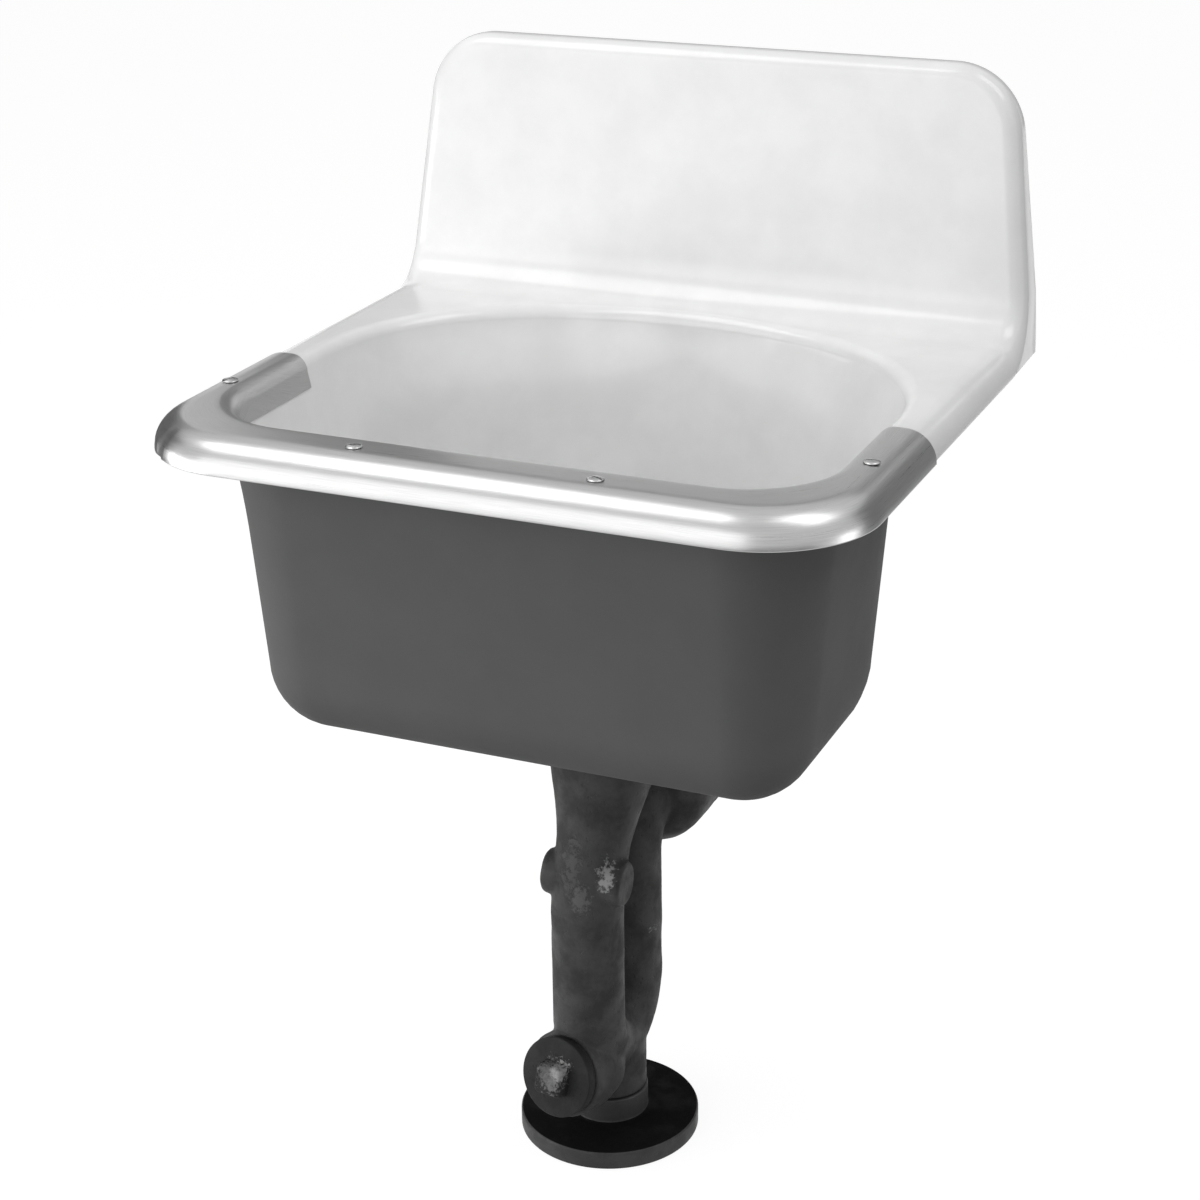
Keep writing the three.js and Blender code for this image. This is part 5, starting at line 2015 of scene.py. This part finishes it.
# ------------------------------------------------------------------ this sink's own finishes
BOWL_PAINT = CoatedIron(
    "grey_bowl_paint",
    dark=96,
    light=99,
    roughness=0.7,
    depth=0.00015,
    grain=0.03,
    pits=0.02,
    grain_scale=320,
    swell_scale=11,
    shine=0.12,
    patchy=0.02,
)
TRAP_MARKS = (
    Mark((0.0235, -0.3180, -0.4040), (0.0080, 0.0250, 0.0140), 150),
    Mark((0.0060, -0.3250, -0.4240), (0.0090, 0.0250, 0.0140), 98),
    # Painted highlight: the light streak down the front-left of the front leg, where the lamps light it.
    Mark((-0.0060, -0.3250, -0.3950), (0.0120, 0.0250, 0.0300), 84, 200.0),
    Mark((0.0330, -0.2400, -0.4960), (0.0080, 0.0250, 0.0070), 128),
    Mark((0.0200, -0.2900, -0.6150), (0.0150, 0.0100, 0.0020), 88, 420.0),
)
TRAP_COATING = CoatedIron(
    "tarred_trap_iron",
    dark=54,
    light=80,
    roughness=0.58,
    depth=0.0011,
    grain=0.13,
    pits=0.3,
    grain_scale=520,
    shine=0.14,
    marks=TRAP_MARKS,
)
PLUG_MARKS = (
    Mark((-0.0110, -0.3475, -0.5800), (0.0120, 0.0200, 0.0130), 118, 300.0),
    Mark((-0.0060, -0.3500, -0.5740), (0.0100, 0.0200, 0.0070), 160, 380.0),
    Mark((-0.0180, -0.3480, -0.5760), (0.0060, 0.0200, 0.0110), 104, 380.0),
)
PLUG_COATING = CoatedIron(
    "worn_plug_iron",
    dark=36,
    light=48,
    roughness=0.58,
    depth=0.0009,
    grain=0.12,
    pits=0.35,
    grain_scale=560,
    shine=0.15,
    marks=PLUG_MARKS,
)
FOOT_COATING = CoatedIron(
    "tarred_foot_iron", 46, 58, 0.55, depth=0.0008, grain=0.15, pits=0.2, grain_scale=620, shine=0.35
)
# Painted shade: the flange's upper face is made near-black for the shade that the sink above casts on it.
FOOT_TOP_PAINTED_SHADE = CoatedIron(
    "foot_top_painted_shade", 7, 13, 0.8, depth=0.0006, grain=0.12, pits=0.1, grain_scale=620, shine=0.1
)
SCREW_STEEL = EvenFinish("screw_steel_finish", 165, 195, rough=0.364, smoother=0.224)
STRAINER_STEEL = EvenFinish("strainer_steel_finish", 190, 212, rough=0.312, smoother=0.192)
PLAIN_STEEL = EvenFinish("plain_steel_finish", 120, 140, rough=0.546, smoother=0.336)
RUBBER = EvenFinish("black_rubber", 12, 26, 0.7, 0.85, 90.0, depth=0.0001, pits=0.2, metallic=0.0)


# ------------------------------------------------------------------ studio
@dataclass
class SoftLamp:
    """One large soft lamp that points at the sink."""

    name: str
    place: tuple[float, float, float]
    aim: tuple[float, float, float]
    size: tuple[float, float]
    power: float

    def build(self) -> None:
        """Places the lamp."""
        data = bpy.data.lights.new(self.name, "AREA")
        data.shape = "RECTANGLE"
        data.size, data.size_y = self.size
        data.energy = self.power
        lamp = linked(self.name, data)
        lamp.location = self.place
        lamp.rotation_mode = "QUATERNION"
        lamp.rotation_quaternion = (Vector(self.aim) - Vector(self.place)).to_track_quat("-Z", "Y")


def panel(name: str, corners: Sequence[tuple], material: bpy.types.Material) -> bpy.types.Object:
    """A flat four-cornered piece of the studio.

    Args:
        name: the piece's name.
        corners: its four corners.
        material: its material.

    Returns:
        The piece.
    """
    mesh = bpy.data.meshes.new(name)
    mesh.from_pydata(corners, [], [(0, 1, 2, 3)])
    mesh.materials.append(material)
    made = linked(name, mesh)
    return made


def glow(nodes: Nodes, strength: object) -> bpy.types.NodeSocket:
    """A white glow."""
    return nodes.add("ShaderNodeEmission", {"Color": (1, 1, 1, 1), "Strength": strength}).outputs[0]


@dataclass
class DarkFlag:
    """A dark upright panel that only reflections see, for the dark bands in the steel."""

    name: str
    centre: tuple[float, float, float]
    turn: float
    size: tuple[float, float]
    glow: float

    def build(self) -> None:
        """Places the panel."""
        material = bpy.data.materials.new(self.name)
        nodes = emptied(material)
        nodes.add("ShaderNodeOutputMaterial", {"Surface": glow(nodes, self.glow)})
        wide, high = self.size[0] / 2, self.size[1] / 2
        corners = [(-wide, 0, -high), (wide, 0, -high), (wide, 0, high), (-wide, 0, high)]
        flag = panel(self.name, corners, material)
        flag.location = self.centre
        flag.rotation_euler = (0, 0, math.radians(self.turn))
        for ray in ("camera", "diffuse", "shadow", "transmission"):
            setattr(flag, f"visible_{ray}", False)


@dataclass
class Studio:
    """The pale floor, the surroundings, the lamps and the dark flags that the steel reflects."""

    floor_level: float = -0.6745
    floor_gap: float = 0.0004
    floor_size: float = 14.0
    floor_tone: float = 130
    floor_glow: float = 0.88
    surround: float = 0.42
    lamps: tuple[SoftLamp, ...] = (
        SoftLamp("over_left", (-1.1, -0.9, 2.2), (0, -0.3, -0.1), (1.5, 1.2), 17.0),
        SoftLamp("over_right", (1.3, -0.3, 2.0), (0, -0.3, -0.1), (1.0, 1.4), 12.0),
        SoftLamp("front", (-0.9, -2.7, 0.45), (-0.3, -0.2, 0.35), (2.8, 2.2), 25.0),
        SoftLamp("low_left", (-1.7, -1.2, -0.25), (0, -0.3, -0.5), (1.3, 0.75), 14.0),
        SoftLamp("low_right", (1.6, -0.15, -0.34), (0.25, -0.4, -0.05), (0.5, 0.56), 2.2),
    )
    flags: tuple[DarkFlag, ...] = (
        DarkFlag("dark_flag_front", (0.42, -1.60, -0.49), 0.0, (1.30, 0.34), 0.03),
        DarkFlag("dark_flag_corner", (1.25, -1.20, -0.49), 42.0, (0.70, 0.34), 0.03),
        DarkFlag("dark_flag_right", (1.15, 0.85, 0.10), -55.0, (1.4, 1.5), 0.25),
        DarkFlag("dark_flag_left", (-1.45, 0.1, 0.10), 70.0, (1.4, 1.5), 0.14),
        DarkFlag("dark_flag_behind", (-0.35, 1.70, 0.75), 10.0, (2.2, 1.7), 0.30),
    )

    def seen_as(self, nodes: Nodes) -> bpy.types.NodeSocket:
        """One where a camera, glossy or transmission ray looks, and nothing elsewhere."""
        path = nodes.add("ShaderNodeLightPath")
        seen = nodes.math("MAXIMUM", path.outputs["Is Camera Ray"], path.outputs["Is Glossy Ray"])
        return nodes.math("MAXIMUM", seen, path.outputs["Is Transmission Ray"])

    def surroundings(self) -> None:
        """A plain bright room, white where the camera sees it."""
        world = bpy.data.worlds.new("plain_room")
        nodes = emptied(world)
        strength = nodes.math("MAXIMUM", self.seen_as(nodes), self.surround)
        back = nodes.add("ShaderNodeBackground", {"Color": (1, 1, 1, 1), "Strength": strength})
        nodes.add("ShaderNodeOutputWorld", {"Surface": back.outputs[0]})
        bpy.context.scene.world = world

    def floor(self) -> None:
        """A pale floor just under the foot's lowest place at rest; it keeps the sink's shadow."""
        material = bpy.data.materials.new("pale_floor")
        nodes = emptied(material)
        plain = nodes.add("ShaderNodeBsdfDiffuse", {"Color": grey(self.floor_tone)}).outputs[0]
        seen = glow(nodes, nodes.math("MULTIPLY", self.seen_as(nodes), self.floor_glow))
        both = nodes.add("ShaderNodeAddShader", {0: plain, 1: seen})
        nodes.add("ShaderNodeOutputMaterial", {"Surface": both.outputs[0]})
        half, level = self.floor_size / 2, self.floor_level - self.floor_gap
        corners = [(-half, -half), (half, -half), (half, half), (-half, half)]
        panel("floor", [(x, y, level) for x, y in corners], material)

    def build(self) -> None:
        """Sets up the whole studio."""
        self.surroundings()
        self.floor()
        for flag in self.flags:
            flag.build()
        for lamp in self.lamps:
            lamp.build()
        bpy.context.scene.view_settings.view_transform = "Standard"


@dataclass
class PhotoCamera:
    """The camera at the photograph's place."""

    place: tuple[float, float, float] = (0.747029, -1.955436, 0.579128)
    right: tuple[float, float, float] = (0.91698, 0.39876, -0.0119)
    up: tuple[float, float, float] = (-0.14207, 0.35427, 0.92429)
    back: tuple[float, float, float] = (0.37278, -0.84586, 0.38151)
    lens: float = 75.877
    film: float = 36.0
    farthest: float = 50.0

    def build(self) -> None:
        """Places the camera and makes it the scene's."""
        data = bpy.data.cameras.new("photo_camera")
        data.lens = self.lens
        data.sensor_width = self.film
        data.clip_end = self.farthest
        camera = linked("photo_camera", data)
        turn = Matrix((self.right, self.up, self.back)).transposed().to_4x4()
        camera.matrix_world = Matrix.Translation(self.place) @ turn
        bpy.context.scene.camera = camera


def main() -> None:
    """Builds the camera, the studio and every piece of the sink."""
    logging.basicConfig(level=logging.INFO, format="%(name)s: %(message)s")
    PhotoCamera().build()
    Studio().build()
    shape = SinkShape()
    SinkCasting(shape).build()
    RimGuard(shape).build()
    Strainer(shape).build()
    cleanout = Cleanout()
    Trap().build(cleanout)
    cleanout.build()
    Foot().build()
    WallHangers().build()


if __name__ == "__main__":
    main()
